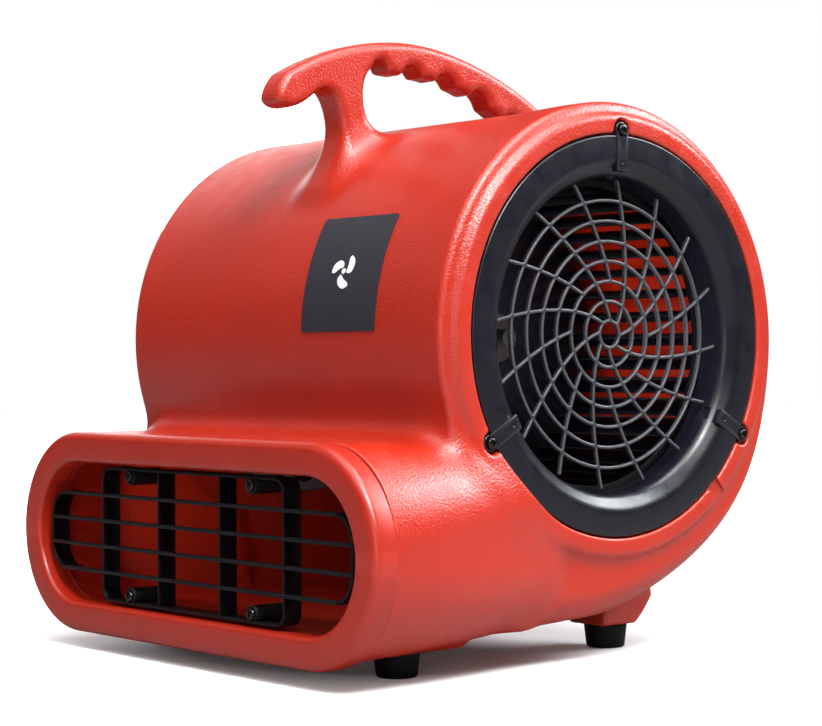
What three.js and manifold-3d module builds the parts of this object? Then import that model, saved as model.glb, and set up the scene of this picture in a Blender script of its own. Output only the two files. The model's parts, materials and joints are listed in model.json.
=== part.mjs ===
// Compact commercial air mover (carpet dryer): a red moulded scroll housing with a full-width outlet,
// a squirrel-cage impeller on a motor inside it, a guarded bell-mouth inlet on the right-hand side,
// and a black service cover with a cord drum and speed knob on the left-hand side.
// Millimetres, +Z up. +X points out of the inlet, -Y out of the outlet.
// Dimensions are measured from the floor, under the fan axis, at the middle of the housing's width.
// The finished model is then moved so that its origin is on the floor at the middle of its length.

import * as THREE from "three";
import { mergeVertices } from "three/addons/utils/BufferGeometryUtils.js";
import Module from "manifold-3d";

const wasm = await Module();
wasm.setup();

// ---- driving dimensions ----

const GAP = 0.3; // assembly clearance between neighbouring pieces
const ROUND = 40; // sides of the large round pieces

// housing
const AXIS_Z = 207; // height of the fan axis above the floor
const BARREL_R = 147; // outside radius of the round part of the scroll
const LEFT_X = -170; // plane of the left-hand side
const RIGHT_X = 165; // plane of the right-hand side wall
const RIM_X = 170; // front plane of the rim around the inlet
const RIM_INNER_R = 128;
const RIM_OUTER_R = 139;
const WALL = 4;
const LEFT_WALL = 11;
const BELLY_Z = 22; // underside of the housing between the feet
const SIDE_ROUND = 12; // rounding of the housing's side edges
const INLET_HOLE_R = 119;
const SERVICE_HOLE_R = 112;
const SERVICE_RECESS = 7;

// outlet
const MOUTH_Y = -222; // front plane of the outlet collar
const COLLAR_BACK_Y = -205;
const MOUTH_Z = 77.8; // height of the outlet's centre line
const COLLAR_HALF_WIDTH = 195;
const COLLAR_HALF_HEIGHT = 67;
const MOUTH_HALF_WIDTH = 173.8;
const MOUTH_HALF_HEIGHT = 46.9;
const GRILLE_FRONT_Y = -216;
const GRILLE_BACK_Y = -203;
const GRILLE_SCREWS = [
  [67.5, 116.8],
  [-67.5, 116.8],
  [67.5, 38.8],
  [-67.5, 38.8],
]; // [x, z] of each

// inlet
const RING_R = 127;
const THROAT_R = 99.5;
const THROAT_END_X = 146;
const SCREW_CIRCLE_R = 130.2;
const SCREW_ANGLES = [90, 210, 330]; // degrees from +Y towards +Z
const GUARD_X = 154.5;
const GUARD_DEPTH = 5;
const GUARD_RIB = 2.4;
const GUARD_RINGS = [8.6, 21, 33.7, 46.5, 59, 72, 85];
const GUARD_SPOKES = 16; // every second one stops at the third ring
const GUARD_REACH_R = 98.8;
const GUARD_SWEEP = 46; // degrees that a spoke turns from hub to rim, at a steady slant
const GUARD_START = -5.2; // angle of the first spoke at the innermost ring

// impeller and shaft
const WHEEL_BACK_X = 24;
const WHEEL_FRONT_X = 143;
const WHEEL_R = 112;
const WHEEL_INNER_R = 96;
const BLADE_COUNT = 42;
const BLADE_THICKNESS = 1.8;
const BLADE_CAMBER = 1; // degrees that the middle of a blade stands back from its inner edge
const BLADE_LEAD = -2.6; // degrees from a blade's inner edge to its outer edge
const SHAFT_R = 6;
const SHAFT_ENDS_X = [-150, 64];

// motor
const MOTOR_R = 64;
const MOTOR_BACK_X = -140;
const MOTOR_FRONT_X = -20;
const ROTOR_R = 33;
const STATOR_BACK_X = -102;
const STATOR_FRONT_X = -56;
const BEARING_R = 16;
const MOTOR_BOLT_CIRCLE_R = 46;
const MOTOR_BOLT_ANGLES = [30, 150, 270];
const PLATE_X = -165.2; // outer face of the motor plate
const PLATE_THICKNESS = 2;

// service side
const COVER_SCREW_CIRCLE_R = 119;
const DRUM_R = 58;
const DRUM_LIP_R = 72;
const DRUM_END_X = -193;
const DIAL_X = -180;
const CORD_R = 3.3;
const CORD_PITCH = 7.7;
const GLAND_R = 98; // distance of the cord gland from the fan axis

// feet
const FOOT_HEIGHT = 15.7;
const FOOT_TOP_R = 14.5;
const FOOT_BOTTOM_R = 12;
const PLINTH_Z = 16; // underside of the plinths that carry the feet
const FOOT_PLACES = [
  ["front_right", 119.5, -145],
  ["front_left", -119.5, -145],
  ["rear_right", 104, 49.5],
  ["rear_left", -104, 49.5],
];

// handle
const HANDLE_HALF_WIDTH = 12;

// ---- materials ----

const finish = (color, roughness, metalness) =>
  new THREE.MeshStandardMaterial({ color, roughness, metalness });
const RED_PLASTIC = finish(0xc83c2c, 0.42, 0);
const COLLAR_PLASTIC = finish(0xb2382c, 0.38, 0);
const BLACK_PLASTIC = finish(0x1c1d20, 0.34, 0);
const GUARD_PLASTIC = finish(0x2a2b2e, 0.4, 0);
const RUBBER = finish(0x111112, 0.75, 0);
const LABEL_FILM = finish(0x26262b, 0.5, 0);
const BLACK_STEEL = finish(0x2c2c2e, 0.3, 1);
const BRIGHT_STEEL = finish(0xa8aaac, 0.3, 1);
const MOTOR_PAINT = finish(0x3a3c40, 0.5, 0.6);
const LAMINATION = finish(0x6b6d70, 0.45, 1);
const COPPER = finish(0xb0623a, 0.35, 1);
const BRASS = finish(0xc2a25a, 0.3, 1);
const GREY_PLASTIC = finish(0xc8c8c4, 0.5, 0);

// ---- solids ----

// A closed geometry as a solid that can be joined and cut. Its faces are turned outwards if need be.
function solid(geometry) {
  const bare = geometry.clone();
  bare.deleteAttribute("normal");
  bare.deleteAttribute("uv");
  const merged = mergeVertices(bare, 1e-4);
  const corners = merged.index.array;
  const faces = [];
  for (let i = 0; i < corners.length; i += 3) {
    const [a, b, c] = corners.subarray(i, i + 3);
    if (a !== b && b !== c && c !== a) faces.push(a, b, c);
  }
  const build = (triangles) =>
    new wasm.Manifold(
      new wasm.Mesh({
        numProp: 3,
        vertProperties: merged.attributes.position.array,
        triVerts: new Uint32Array(triangles),
      }),
    );
  const made = build(faces);
  return made.volume() < 0 ? build(faces.reverse()) : made;
}

const join = (solids) => solids.reduce((a, b) => a.add(b));
const cut = (body, tools) => body.subtract(join(tools));

const root = new THREE.Group();

// Adds a solid to the model as a named mesh.
function place(name, body, material) {
  const mesh = body.getMesh();
  const geometry = new THREE.BufferGeometry();
  geometry.setAttribute("position", new THREE.BufferAttribute(mesh.vertProperties, 3));
  geometry.setIndex(new THREE.BufferAttribute(mesh.triVerts, 1));
  geometry.computeVertexNormals();
  const piece = new THREE.Mesh(geometry, material.clone());
  piece.name = name;
  root.add(piece);
}

const WAY = {
  right: new THREE.Vector3(1, 0, 0),
  left: new THREE.Vector3(-1, 0, 0),
  front: new THREE.Vector3(0, -1, 0),
  up: new THREE.Vector3(0, 0, 1),
  down: new THREE.Vector3(0, 0, -1),
};

// A profile of [radius, distance] points turned about the line from `at` along `way`.
function turned(profile, segments, way, at) {
  const points = profile.map(([r, distance]) => new THREE.Vector2(r, distance));
  const geometry = new THREE.LatheGeometry(points, segments);
  const turn = new THREE.Quaternion().setFromUnitVectors(new THREE.Vector3(0, 1, 0), way);
  geometry.applyQuaternion(turn);
  geometry.translate(...at);
  return solid(geometry);
}

// A piece turned about the fan axis, or about a line parallel to it. Distances are x values.
const turnX = (profile, segments, y = 0, z = AXIS_Z) =>
  turned(profile, segments, WAY.right, [0, y, z]);

const rodX = (r, fromX, toX, segments, y, z) =>
  turnX([[0, fromX], [r, fromX], [r, toX], [0, toX]], segments, y, z);

const tubeX = (innerR, outerR, fromX, toX, segments, y, z) =>
  turnX(
    [[innerR, fromX], [outerR, fromX], [outerR, toX], [innerR, toX], [innerR, fromX]],
    segments,
    y,
    z,
  );

// A rod along Y, from frontY back to backY.
const rodY = (r, frontY, backY, segments, x, z) =>
  turned([[0, -backY], [r, -backY], [r, -frontY], [0, -frontY]], segments, WAY.front, [x, 0, z]);

// A pan-head screw. `at` is the centre of the head's seat, and the head stands out along `way`.
function screw(at, way, shankLength, headR) {
  const shankR = 1.5;
  const headHeight = 0.7 * headR;
  const profile = [
    [0, -shankLength],
    [shankR, -shankLength],
    [shankR, 0],
    [headR, 0],
    [0.85 * headR, 0.7 * headHeight],
    [0, headHeight],
  ];
  return turned(profile, 6, way, at);
}

// Turns a sketch's x, y and depth onto the given directions.
const facing = (x, y, depth) =>
  new THREE.Matrix4().makeBasis(
    new THREE.Vector3(...x),
    new THREE.Vector3(...y),
    new THREE.Vector3(...depth),
  );
const SIDE_VIEW = facing([0, 1, 0], [0, 0, 1], [1, 0, 0]);
const FRONT_VIEW = facing([1, 0, 0], [0, 0, 1], [0, -1, 0]);

// A sketch in the Y-Z plane, extruded from fromX to toX, with its end edges rounded if asked.
function extrudeX(shape, fromX, toX, { round = 0, steps = 2, curves = 12 } = {}) {
  const geometry = new THREE.ExtrudeGeometry(shape, {
    depth: toX - fromX - 2 * round,
    curveSegments: curves,
    bevelEnabled: round > 0,
    bevelThickness: round,
    bevelSize: round,
    bevelOffset: -round,
    bevelSegments: steps,
  });
  geometry.applyMatrix4(SIDE_VIEW);
  geometry.translate(fromX + round, 0, 0);
  return solid(geometry);
}

// A sketch in the X-Z plane, extruded from backY forwards to frontY.
function extrudeY(shape, frontY, backY, curves = 12) {
  const geometry = new THREE.ExtrudeGeometry(shape, {
    depth: backY - frontY,
    curveSegments: curves,
    bevelEnabled: false,
  });
  geometry.applyMatrix4(FRONT_VIEW);
  geometry.translate(0, backY, 0);
  return solid(geometry);
}

// A box between two corners.
function block(low, high) {
  const size = high.map((value, i) => value - low[i]);
  const geometry = new THREE.BoxGeometry(...size);
  geometry.translate(...low.map((value, i) => value + size[i] / 2));
  return solid(geometry);
}

const radians = (degrees) => (degrees * Math.PI) / 180;

// The [y, z] point at a radius and an angle around the fan axis, from +Y towards +Z.
const around = (r, degrees) => [
  r * Math.cos(radians(degrees)),
  AXIS_Z + r * Math.sin(radians(degrees)),
];

// A box with one end towards the fan axis, turned to an angle around it.
function spokeBlock(degrees, [innerR, outerR], width, [fromX, toX]) {
  const geometry = new THREE.BoxGeometry(toX - fromX, outerR - innerR, width);
  geometry.translate((fromX + toX) / 2, (innerR + outerR) / 2, 0);
  geometry.rotateX(radians(degrees));
  geometry.translate(0, 0, AXIS_Z);
  return solid(geometry);
}

// Joins rings of points into a closed skin with flat ends. Each ring has the same number of points.
function loft(rings) {
  const count = rings[0].length;
  const faces = [];
  for (let ring = 0; ring + 1 < rings.length; ring++)
    for (let i = 0; i < count; i++) {
      const a = ring * count + i;
      const b = ring * count + ((i + 1) % count);
      faces.push(a, b, b + count, a, b + count, a + count);
    }
  const last = (rings.length - 1) * count;
  for (let i = 1; i + 1 < count; i++) {
    faces.push(0, i + 1, i);
    faces.push(last, last + i, last + i + 1);
  }
  const geometry = new THREE.BufferGeometry().setFromPoints(rings.flat());
  geometry.setIndex(faces);
  return solid(geometry);
}

// A round bar through a row of points. Its cross-section is carried along without twisting.
function bar(points, r, sides) {
  const path = points.map((point) => new THREE.Vector3(...point));
  const normal = new THREE.Vector3(0, 1, 0);
  const rings = path.map((centre, i) => {
    const before = path[Math.max(i - 1, 0)];
    const after = path[Math.min(i + 1, path.length - 1)];
    const along = after.clone().sub(before).normalize();
    normal.addScaledVector(along, -normal.dot(along)).normalize();
    const across = along.clone().cross(normal);
    return Array.from({ length: sides }, (_, side) => {
      const turn = (2 * Math.PI * side) / sides;
      return centre
        .clone()
        .addScaledVector(normal, r * Math.cos(turn))
        .addScaledVector(across, r * Math.sin(turn));
    });
  });
  return loft(rings);
}

// ---- housing ----

// The scroll in side view: round over the top, opening out below the fan to the flat belly.
function scrollShape(inset) {
  const radius = BARREL_R - inset;
  const belly = BELLY_Z + inset;
  const backAngle = -15;
  const shape = new THREE.Shape();
  shape.moveTo(-120, belly);
  shape.lineTo(10, belly);
  shape.bezierCurveTo(70 - inset / 2, belly, 128 - inset, 117, ...around(radius, backAngle));
  shape.absarc(0, AXIS_Z, radius, radians(backAngle), radians(215), false);
  shape.closePath();
  return shape;
}

// A cross-section of the outlet nozzle: a rectangle with round corners in the plane at y.
function nozzleRing(y, halfWidth, lowZ, highZ, cornerR) {
  const cornerSteps = 5;
  const [farX, lowCentre, highCentre] = [halfWidth - cornerR, lowZ + cornerR, highZ - cornerR];
  const corners = [
    [farX, lowCentre, -90],
    [farX, highCentre, 0],
    [-farX, highCentre, 90],
    [-farX, lowCentre, 180],
  ];
  const ring = [];
  for (const [x, z, start] of corners)
    for (let step = 0; step <= cornerSteps; step++) {
      const turn = radians(start + (90 * step) / cornerSteps);
      ring.push(new THREE.Vector3(x + cornerR * Math.cos(turn), y, z + cornerR * Math.sin(turn)));
    }
  return ring;
}

// The outlet nozzle, from behind the collar back into the scroll.
const nozzleOutside = () =>
  loft([
    nozzleRing(COLLAR_BACK_Y, 191, 14, 143.5, 62),
    nozzleRing(-160, 190, 16, 144, 61),
    nozzleRing(-110, 182, 20, 144, 56),
    nozzleRing(-70, 170, BELLY_Z, 140, 50),
    nozzleRing(-30, 158, 26, 130, 40),
  ]);

// The air passage, from the mouth to the inside of the scroll.
const nozzleInside = () =>
  loft([
    nozzleRing(COLLAR_BACK_Y - 1, MOUTH_HALF_WIDTH, 30.9, 124.7, 46),
    nozzleRing(-170, 172, 30, 127, 44),
    nozzleRing(-110, 158, 28, 134, 30),
    nozzleRing(-30, 150, 30, 130, 30),
  ]);

// The carrying handle in side view: a hook at the front, a post, and a grip with finger hollows.
function handleShape() {
  const cusps = [
    [68, 352],
    [40, 365.5],
    [9, 378.5],
    [-23, 384.5],
    [-53.7, 385],
    [-78, 388],
  ].map(([y, z]) => new THREE.Vector2(y, z));
  const hollow = 13; // rise of the curve's control point above the line between two cusps
  const tip = 0.2; // share of the stretch between two cusps that rounds a cusp's tip
  const shape = new THREE.Shape();
  shape.moveTo(-108, 305);
  shape.bezierCurveTo(-97, 335, -98, 350, -103, 361);
  shape.quadraticCurveTo(-106, 369, -112, 370);
  shape.bezierCurveTo(-121, 370, -124, 360, -140, 356.5);
  shape.quadraticCurveTo(-149, 355.5, -152.5, 361);
  shape.quadraticCurveTo(-153, 369, -144, 379);
  shape.bezierCurveTo(-110, 398.5, -75, 406.7, -39, 406.7);
  shape.bezierCurveTo(10, 406.7, 80, 379, 101, 353);
  shape.quadraticCurveTo(118, 330, 120, 300);
  shape.lineTo(98, 300);
  shape.bezierCurveTo(100, 325, 84, 350, cusps[0].x, cusps[0].y);
  cusps.slice(1).forEach((there, i) => {
    const here = cusps[i];
    const start = i ? here.clone().lerp(there, tip) : here;
    const end = there.clone().lerp(here, tip);
    if (i) shape.quadraticCurveTo(here.x, here.y, start.x, start.y);
    shape.quadraticCurveTo((start.x + end.x) / 2, (start.y + end.y) / 2 + hollow, end.x, end.y);
  });
  shape.bezierCurveTo(-85, 378, -84, 350, -58, 325);
  shape.closePath();
  return shape;
}

// A plinth under the housing that carries a foot. The front ones run on behind their feet as
// flat pads, and the rear ones rise at their backs.
function plinth(x, y) {
  const outline = y < 0 ? [[43, 16], [46, 19], [46, 40]] : [[12, 16], [19, 22], [28, 33], [25, 52]];
  const shape = new THREE.Shape();
  shape.moveTo(y - 17, PLINTH_Z);
  outline.forEach(([behind, z]) => shape.lineTo(y + behind, z));
  shape.lineTo(y - 17, 40);
  shape.closePath();
  return extrudeX(shape, x - 18, x + 18);
}

// A round-fronted lug on the passage wall that a grille screw bites into.
function grilleLug(x, z) {
  const [lowZ, highZ] = z > MOUTH_Z ? [z - 5, z + 14] : [z - 14, z + 5];
  return block([x - 5.5, -193, lowZ], [x + 5.5, -180, highZ]);
}

function housing() {
  const scroll = extrudeX(scrollShape(0), LEFT_X, RIGHT_X, { round: SIDE_ROUND, curves: 14 });
  const rimProfile = [
    [0, 150],
    [BARREL_R - 3, 150],
    [BARREL_R - 5, 162],
    [RIM_OUTER_R + 1, RIGHT_X],
    [RIM_OUTER_R, RIM_X - 1.5],
    [RIM_OUTER_R - 2, RIM_X],
    [0, RIM_X],
  ];
  const handle = extrudeX(handleShape(), -HANDLE_HALF_WIDTH, HANDLE_HALF_WIDTH, {
    round: 2,
    steps: 1,
    curves: 5,
  });
  const plinths = FOOT_PLACES.map(([, x, y]) => plinth(x, y));
  const outside = join([scroll, turnX(rimProfile, ROUND), nozzleOutside(), handle, ...plinths]);

  const cavity = extrudeX(scrollShape(WALL), LEFT_X + LEFT_WALL, RIGHT_X - WALL, { curves: 10 });
  const shell = cut(outside, [
    cavity,
    nozzleInside(),
    rodX(RIM_INNER_R, RIGHT_X, RIM_X + 1, ROUND),
    rodX(INLET_HOLE_R, RIGHT_X - WALL - 1, RIGHT_X + 1, ROUND),
    rodX(RIM_INNER_R, LEFT_X - 1, LEFT_X + SERVICE_RECESS, ROUND),
    rodX(SERVICE_HOLE_R, LEFT_X, LEFT_X + LEFT_WALL + 1, ROUND),
  ]);

  const [bossR, bossDepth, pilotR] = [6, 12, 1.9];
  const bosses = SCREW_ANGLES.flatMap((angle) => [
    rodX(bossR, RIGHT_X - WALL - bossDepth, RIGHT_X - 1, 10, ...around(SCREW_CIRCLE_R, angle)),
    rodX(
      bossR,
      LEFT_X + LEFT_WALL - 1,
      LEFT_X + LEFT_WALL + bossDepth,
      10,
      ...around(COVER_SCREW_CIRCLE_R, angle),
    ),
  ]);
  const holes = [
    ...SCREW_ANGLES.flatMap((angle) => [
      rodX(6.8, RIGHT_X, RIM_X + 1, 12, ...around(SCREW_CIRCLE_R, angle)),
      rodX(pilotR, RIGHT_X - 14, RIM_X, 6, ...around(SCREW_CIRCLE_R, angle)),
      rodX(pilotR, LEFT_X, LEFT_X + LEFT_WALL + 10, 6, ...around(COVER_SCREW_CIRCLE_R, angle)),
    ]),
    ...GRILLE_SCREWS.map(([x, z]) => rodY(pilotR, -194, -183, 6, x, z)),
    ...FOOT_PLACES.map(([, x, y]) =>
      turned([[0, 0], [pilotR, 0], [pilotR, 30], [0, 30]], 6, WAY.up, [x, y, 0]),
    ),
  ];
  const lugs = GRILLE_SCREWS.map(([x, z]) => grilleLug(x, z));
  return cut(join([shell, ...bosses, ...lugs]), holes);
}

// ---- outlet ----

// A stadium centred on the outlet, or a rectangle with round corners where cornerR is given.
function mouthShape(halfWidth, halfHeight, cornerR = halfHeight) {
  const [x, z] = [halfWidth - cornerR, halfHeight - cornerR];
  const quarter = Math.PI / 2;
  const shape = new THREE.Shape();
  shape.absarc(x, MOUTH_Z + z, cornerR, 0, quarter, false);
  shape.absarc(-x, MOUTH_Z + z, cornerR, quarter, 2 * quarter, false);
  shape.absarc(-x, MOUTH_Z - z, cornerR, 2 * quarter, 3 * quarter, false);
  shape.absarc(x, MOUTH_Z - z, cornerR, 3 * quarter, 4 * quarter, false);
  shape.closePath();
  return shape;
}

function outletCollar() {
  const [edge, curves] = [4, 5];
  const backY = COLLAR_BACK_Y - GAP;
  const outline = (inset) => mouthShape(COLLAR_HALF_WIDTH - inset, COLLAR_HALF_HEIGHT - inset);
  const band = extrudeY(outline(0), MOUTH_Y + edge, backY, curves);
  const face = extrudeY(outline(edge), MOUTH_Y, MOUTH_Y + 2 * edge, curves);
  const opening = mouthShape(MOUTH_HALF_WIDTH, MOUTH_HALF_HEIGHT);
  return cut(join([band, face]), [extrudeY(opening, MOUTH_Y - 1, backY + 1, curves)]);
}

// A hoop of the grille: a rounded outline less the same outline one slat smaller.
function grilleHoop(halfWidth, halfHeight, cornerR, slat) {
  const outline = (inset) =>
    mouthShape(halfWidth - inset, halfHeight - inset, cornerR - inset);
  return cut(extrudeY(outline(0), GRILLE_FRONT_Y, GRILLE_BACK_Y, 3), [
    extrudeY(outline(slat), GRILLE_FRONT_Y - 1, GRILLE_BACK_Y + 1, 3),
  ]);
}

function outletGrille() {
  const [slat, halfBar, wide, tall] = [1.8, 1.25, 166, 44];
  const barHeights = [-25.5, -8.5, 8.5, 25.5];
  const uprights = [-34, 34].map((x) =>
    block(
      [x - slat / 2, GRILLE_FRONT_Y, MOUTH_Z - tall + 1],
      [x + slat / 2, GRILLE_BACK_Y, MOUTH_Z + tall - 1],
    ),
  );
  const bars = barHeights.map((z) => {
    const reach = Math.abs(z) > 20 ? wide - 16 : wide - 1;
    return block(
      [-reach, GRILLE_FRONT_Y - 0.4, MOUTH_Z + z - halfBar],
      [reach, GRILLE_FRONT_Y + 4, MOUTH_Z + z + halfBar],
    );
  });
  const middle = block(
    [18 - wide, GRILLE_FRONT_Y - 1, MOUTH_Z - tall],
    [wide - 18, GRILLE_BACK_Y + 1, MOUTH_Z + tall],
  );
  const ends = cut(grilleHoop(wide, 26.75, 18, 2.2), [middle]);
  const bosses = GRILLE_SCREWS.map(([x, z]) =>
    rodY(5.6, GRILLE_FRONT_Y, -193 - GAP, 10, x, z),
  );
  const holes = GRILLE_SCREWS.flatMap(([x, z]) => [
    rodY(1.9, GRILLE_FRONT_Y - 1, -190, 6, x, z),
    rodY(4.3, GRILLE_FRONT_Y - 1, GRILLE_FRONT_Y + 1, 8, x, z),
  ]);
  return cut(join([grilleHoop(101, tall, 9, slat), ends, ...uprights, ...bars, ...bosses]), holes);
}

// ---- inlet ----

// The bell-mouth: a flat band that rounds over into the throat, with three screw eyes and their pads.
function inletRing() {
  const backX = RIGHT_X + GAP;
  const frontX = RIM_X;
  const profile = [
    [RING_R, backX],
    [RING_R, frontX - 1.2],
    [RING_R - 1.2, frontX],
    [112, frontX],
    [105, 167.5],
    [101, 162.5],
    [THROAT_R, 156],
    [THROAT_R, THROAT_END_X],
    [THROAT_R + 2, THROAT_END_X],
    [THROAT_R + 2, 156],
    [104, 161.5],
    [108, 164.5],
    [113, backX],
    [RING_R, backX],
  ];
  const pads = SCREW_ANGLES.map((angle) =>
    spokeBlock(angle, [107, SCREW_CIRCLE_R], 9, [frontX - 3, frontX + 0.6]),
  );
  const eyes = SCREW_ANGLES.map((angle) =>
    rodX(5.2, backX, frontX - 0.5, 10, ...around(SCREW_CIRCLE_R, angle)),
  );
  const holes = SCREW_ANGLES.flatMap((angle) => [
    rodX(1.9, backX - 1, frontX + 1, 6, ...around(SCREW_CIRCLE_R, angle)),
    rodX(4.2, frontX - 0.5, frontX + 1, 8, ...around(SCREW_CIRCLE_R, angle)),
  ]);
  return cut(join([turnX(profile, ROUND), ...pads, ...eyes]), holes);
}

// The guard is a flat web. Its spokes lean over by an angle that grows evenly with the radius.
function inletGuard() {
  const growth = Math.log(THROAT_R / GUARD_RINGS[0]);
  const lean = (r) => GUARD_START + (GUARD_SWEEP * Math.log(r / GUARD_RINGS[0])) / growth;
  const slant = Math.atan(radians(GUARD_SWEEP) / growth);
  const half = GUARD_RIB / 2;

  // A point beside a spoke's centre line, clear of the rib by half its width.
  const beside = (spoke, r, side) => {
    const sideways = ((side * half) / r / Math.cos(slant)) * (180 / Math.PI);
    const [y, z] = around(r, (360 * spoke) / GUARD_SPOKES + lean(r) + sideways);
    return new THREE.Vector2(y, z);
  };

  // The outer edge: long fingers past the last ring.
  const outerRing = GUARD_RINGS.at(-1) + half;
  const outline = [];
  for (let spoke = 0; spoke < GUARD_SPOKES; spoke++) {
    outline.push(beside(spoke, outerRing, -1), beside(spoke, GUARD_REACH_R, -1));
    outline.push(beside(spoke, GUARD_REACH_R, 1), beside(spoke, outerRing, 1));
  }
  const shape = new THREE.Shape(outline);

  // The middle hole, and the windows between two rings and two neighbouring spokes.
  shape.holes.push(new THREE.Path().absarc(0, AXIS_Z, GUARD_RINGS[0] - half, 0, 2 * Math.PI, true));
  for (let ring = 0; ring + 1 < GUARD_RINGS.length; ring++) {
    const step = ring < 2 ? 2 : 1;
    const [inner, outer] = [GUARD_RINGS[ring] + half, GUARD_RINGS[ring + 1] - half];
    for (let spoke = 0; spoke < GUARD_SPOKES; spoke += step)
      shape.holes.push(
        new THREE.Path([
          beside(spoke, inner, 1),
          beside(spoke, outer, 1),
          ...(step === 2 ? [beside(spoke + 1, outer, 0)] : []),
          beside(spoke + step, outer, -1),
          beside(spoke + step, inner, -1),
        ]),
      );
  }
  return extrudeX(shape, GUARD_X, GUARD_X + GUARD_DEPTH, { curves: 5 });
}

// ---- impeller ----

function impeller() {
  // A blade is a thin crescent. Its outer edge leads, and its hollow side faces the way it turns.
  const blade = (degrees) => {
    const edge = (r, turn, side) => {
      const halfThickness = (0.5 * BLADE_THICKNESS * 180) / Math.PI / r;
      return new THREE.Vector2(...around(r, degrees + turn + side * halfThickness));
    };
    const stations = [
      [WHEEL_INNER_R + 1, 0],
      [(WHEEL_INNER_R + WHEEL_R) / 2, BLADE_CAMBER],
      [WHEEL_R - 1, BLADE_LEAD],
    ];
    const outline = [
      ...stations.map(([r, turn]) => edge(r, turn, -1)),
      ...stations.reverse().map(([r, turn]) => edge(r, turn, 1)),
    ];
    return extrudeX(new THREE.Shape(outline), WHEEL_BACK_X + 1, WHEEL_FRONT_X - 1);
  };
  const blades = Array.from({ length: BLADE_COUNT }, (_, i) => blade((360 * i) / BLADE_COUNT));
  const backPlate = tubeX(SHAFT_R + 11, WHEEL_R, WHEEL_BACK_X, WHEEL_BACK_X + 2.5, 42);
  const frontRing = tubeX(WHEEL_INNER_R, WHEEL_R, WHEEL_FRONT_X - 3, WHEEL_FRONT_X, 42);
  return join([backPlate, frontRing, ...blades]);
}

function impellerHub() {
  const boreR = SHAFT_R + GAP;
  const profile = [
    [boreR, WHEEL_BACK_X - 4],
    [30, WHEEL_BACK_X - 4],
    [30, WHEEL_BACK_X - GAP],
    [SHAFT_R + 10.7, WHEEL_BACK_X - GAP],
    [SHAFT_R + 10.7, 52],
    [boreR, 52],
    [boreR, WHEEL_BACK_X - 4],
  ];
  const threaded = turned([[0, 0], [2.9, 0], [2.9, 20], [0, 20]], 8, WAY.up, [44, 0, AXIS_Z]);
  return cut(turnX(profile, 20), [threaded]);
}

const hubSetScrew = () =>
  turned([[0, 6.8], [2.5, 6.8], [2.5, 15], [0, 15]], 8, WAY.up, [44, 0, AXIS_Z]);

// ---- motor ----

const rotorShaft = () => rodX(SHAFT_R, ...SHAFT_ENDS_X, 16);

const rotorCore = () =>
  tubeX(SHAFT_R + GAP, ROTOR_R, STATOR_BACK_X + 2, STATOR_FRONT_X - 2, 20);

const statorCore = () =>
  tubeX(ROTOR_R + 0.8, MOTOR_R - 2.5, STATOR_BACK_X, STATOR_FRONT_X, 20);

// The end turns of the stator winding, on one side of the core.
function windingHead(fromX, toX) {
  const [innerR, outerR, round] = [ROTOR_R + 4, MOTOR_R - 8, 4];
  const profile = [
    [innerR, fromX + round],
    [innerR + round, fromX],
    [outerR - round, fromX],
    [outerR, fromX + round],
    [outerR, toX - round],
    [outerR - round, toX],
    [innerR + round, toX],
    [innerR, toX - round],
    [innerR, fromX + round],
  ];
  return turnX(profile, 14);
}

const motorCan = () =>
  tubeX(MOTOR_R - 1.6, MOTOR_R, MOTOR_BACK_X + GAP, MOTOR_FRONT_X - GAP, 20);

// A cast end bell: a dish that closes the can, with a seat for the bearing. It opens towards +1 or -1.
function endBell(faceX, side) {
  const at = (depth) => faceX + side * depth;
  const seatR = BEARING_R + GAP;
  const profile = [
    [SHAFT_R + 1, at(-13)],
    [24, at(-13)],
    [28, at(-5)],
    [MOTOR_R - 4, at(-5)],
    [MOTOR_R, at(0)],
    [seatR + 5, at(0)],
    [seatR, at(0)],
    [seatR, at(-10)],
    [SHAFT_R + 1, at(-10)],
    [SHAFT_R + 1, at(-13)],
  ];
  return turnX(profile, 20);
}

const bearing = (fromX) => tubeX(SHAFT_R + GAP, BEARING_R, fromX, fromX + 9, 16);

function motorPlate() {
  const [backX, frontX] = [PLATE_X, PLATE_X + PLATE_THICKNESS];
  const through = (r, segments, circleR, angle) =>
    rodX(r, backX - 1, frontX + 1, segments, ...around(circleR, angle));
  const windowAngles = [0, 90, 135, 180, 225, 270, 315];
  return cut(rodX(RIM_INNER_R - 1, backX, frontX, ROUND), [
    rodX(24, backX - 1, frontX + 1, 16),
    ...windowAngles.map((angle) => through(14, 12, 92, angle)),
    ...SCREW_ANGLES.map((angle) => through(1.9, 6, COVER_SCREW_CIRCLE_R, angle)),
    ...MOTOR_BOLT_ANGLES.map((angle) => through(1.9, 6, MOTOR_BOLT_CIRCLE_R, angle)),
  ]);
}

// A spacer sleeve between the plate and the rear end bell, around a motor bolt.
const motorSpacer = (angle) =>
  tubeX(
    2.4,
    6,
    PLATE_X + PLATE_THICKNESS + GAP,
    MOTOR_BACK_X - 5 - GAP,
    10,
    ...around(MOTOR_BOLT_CIRCLE_R, angle),
  );

const CAPACITOR_PLACE = around(88, 45);

const capacitor = () =>
  turnX(
    [[0, -158], [14.5, -158], [16, -156.5], [16, -101.5], [14.5, -100], [0, -100]],
    16,
    ...CAPACITOR_PLACE,
  );

// A strap round the capacitor with a foot against the motor plate.
function capacitorClamp() {
  const [y, z] = CAPACITOR_PLACE;
  const plateFace = PLATE_X + PLATE_THICKNESS + GAP;
  const strap = tubeX(16.4, 18, -150, -138, 16, y, z);
  const arm = block([plateFace, y + 16.8, z - 5], [-140, y + 18.4, z + 5]);
  const foot = block([plateFace, y + 8, z - 5], [plateFace + 1.6, y + 18.4, z + 5]);
  return join([strap, arm, foot]);
}

// ---- service side ----

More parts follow.
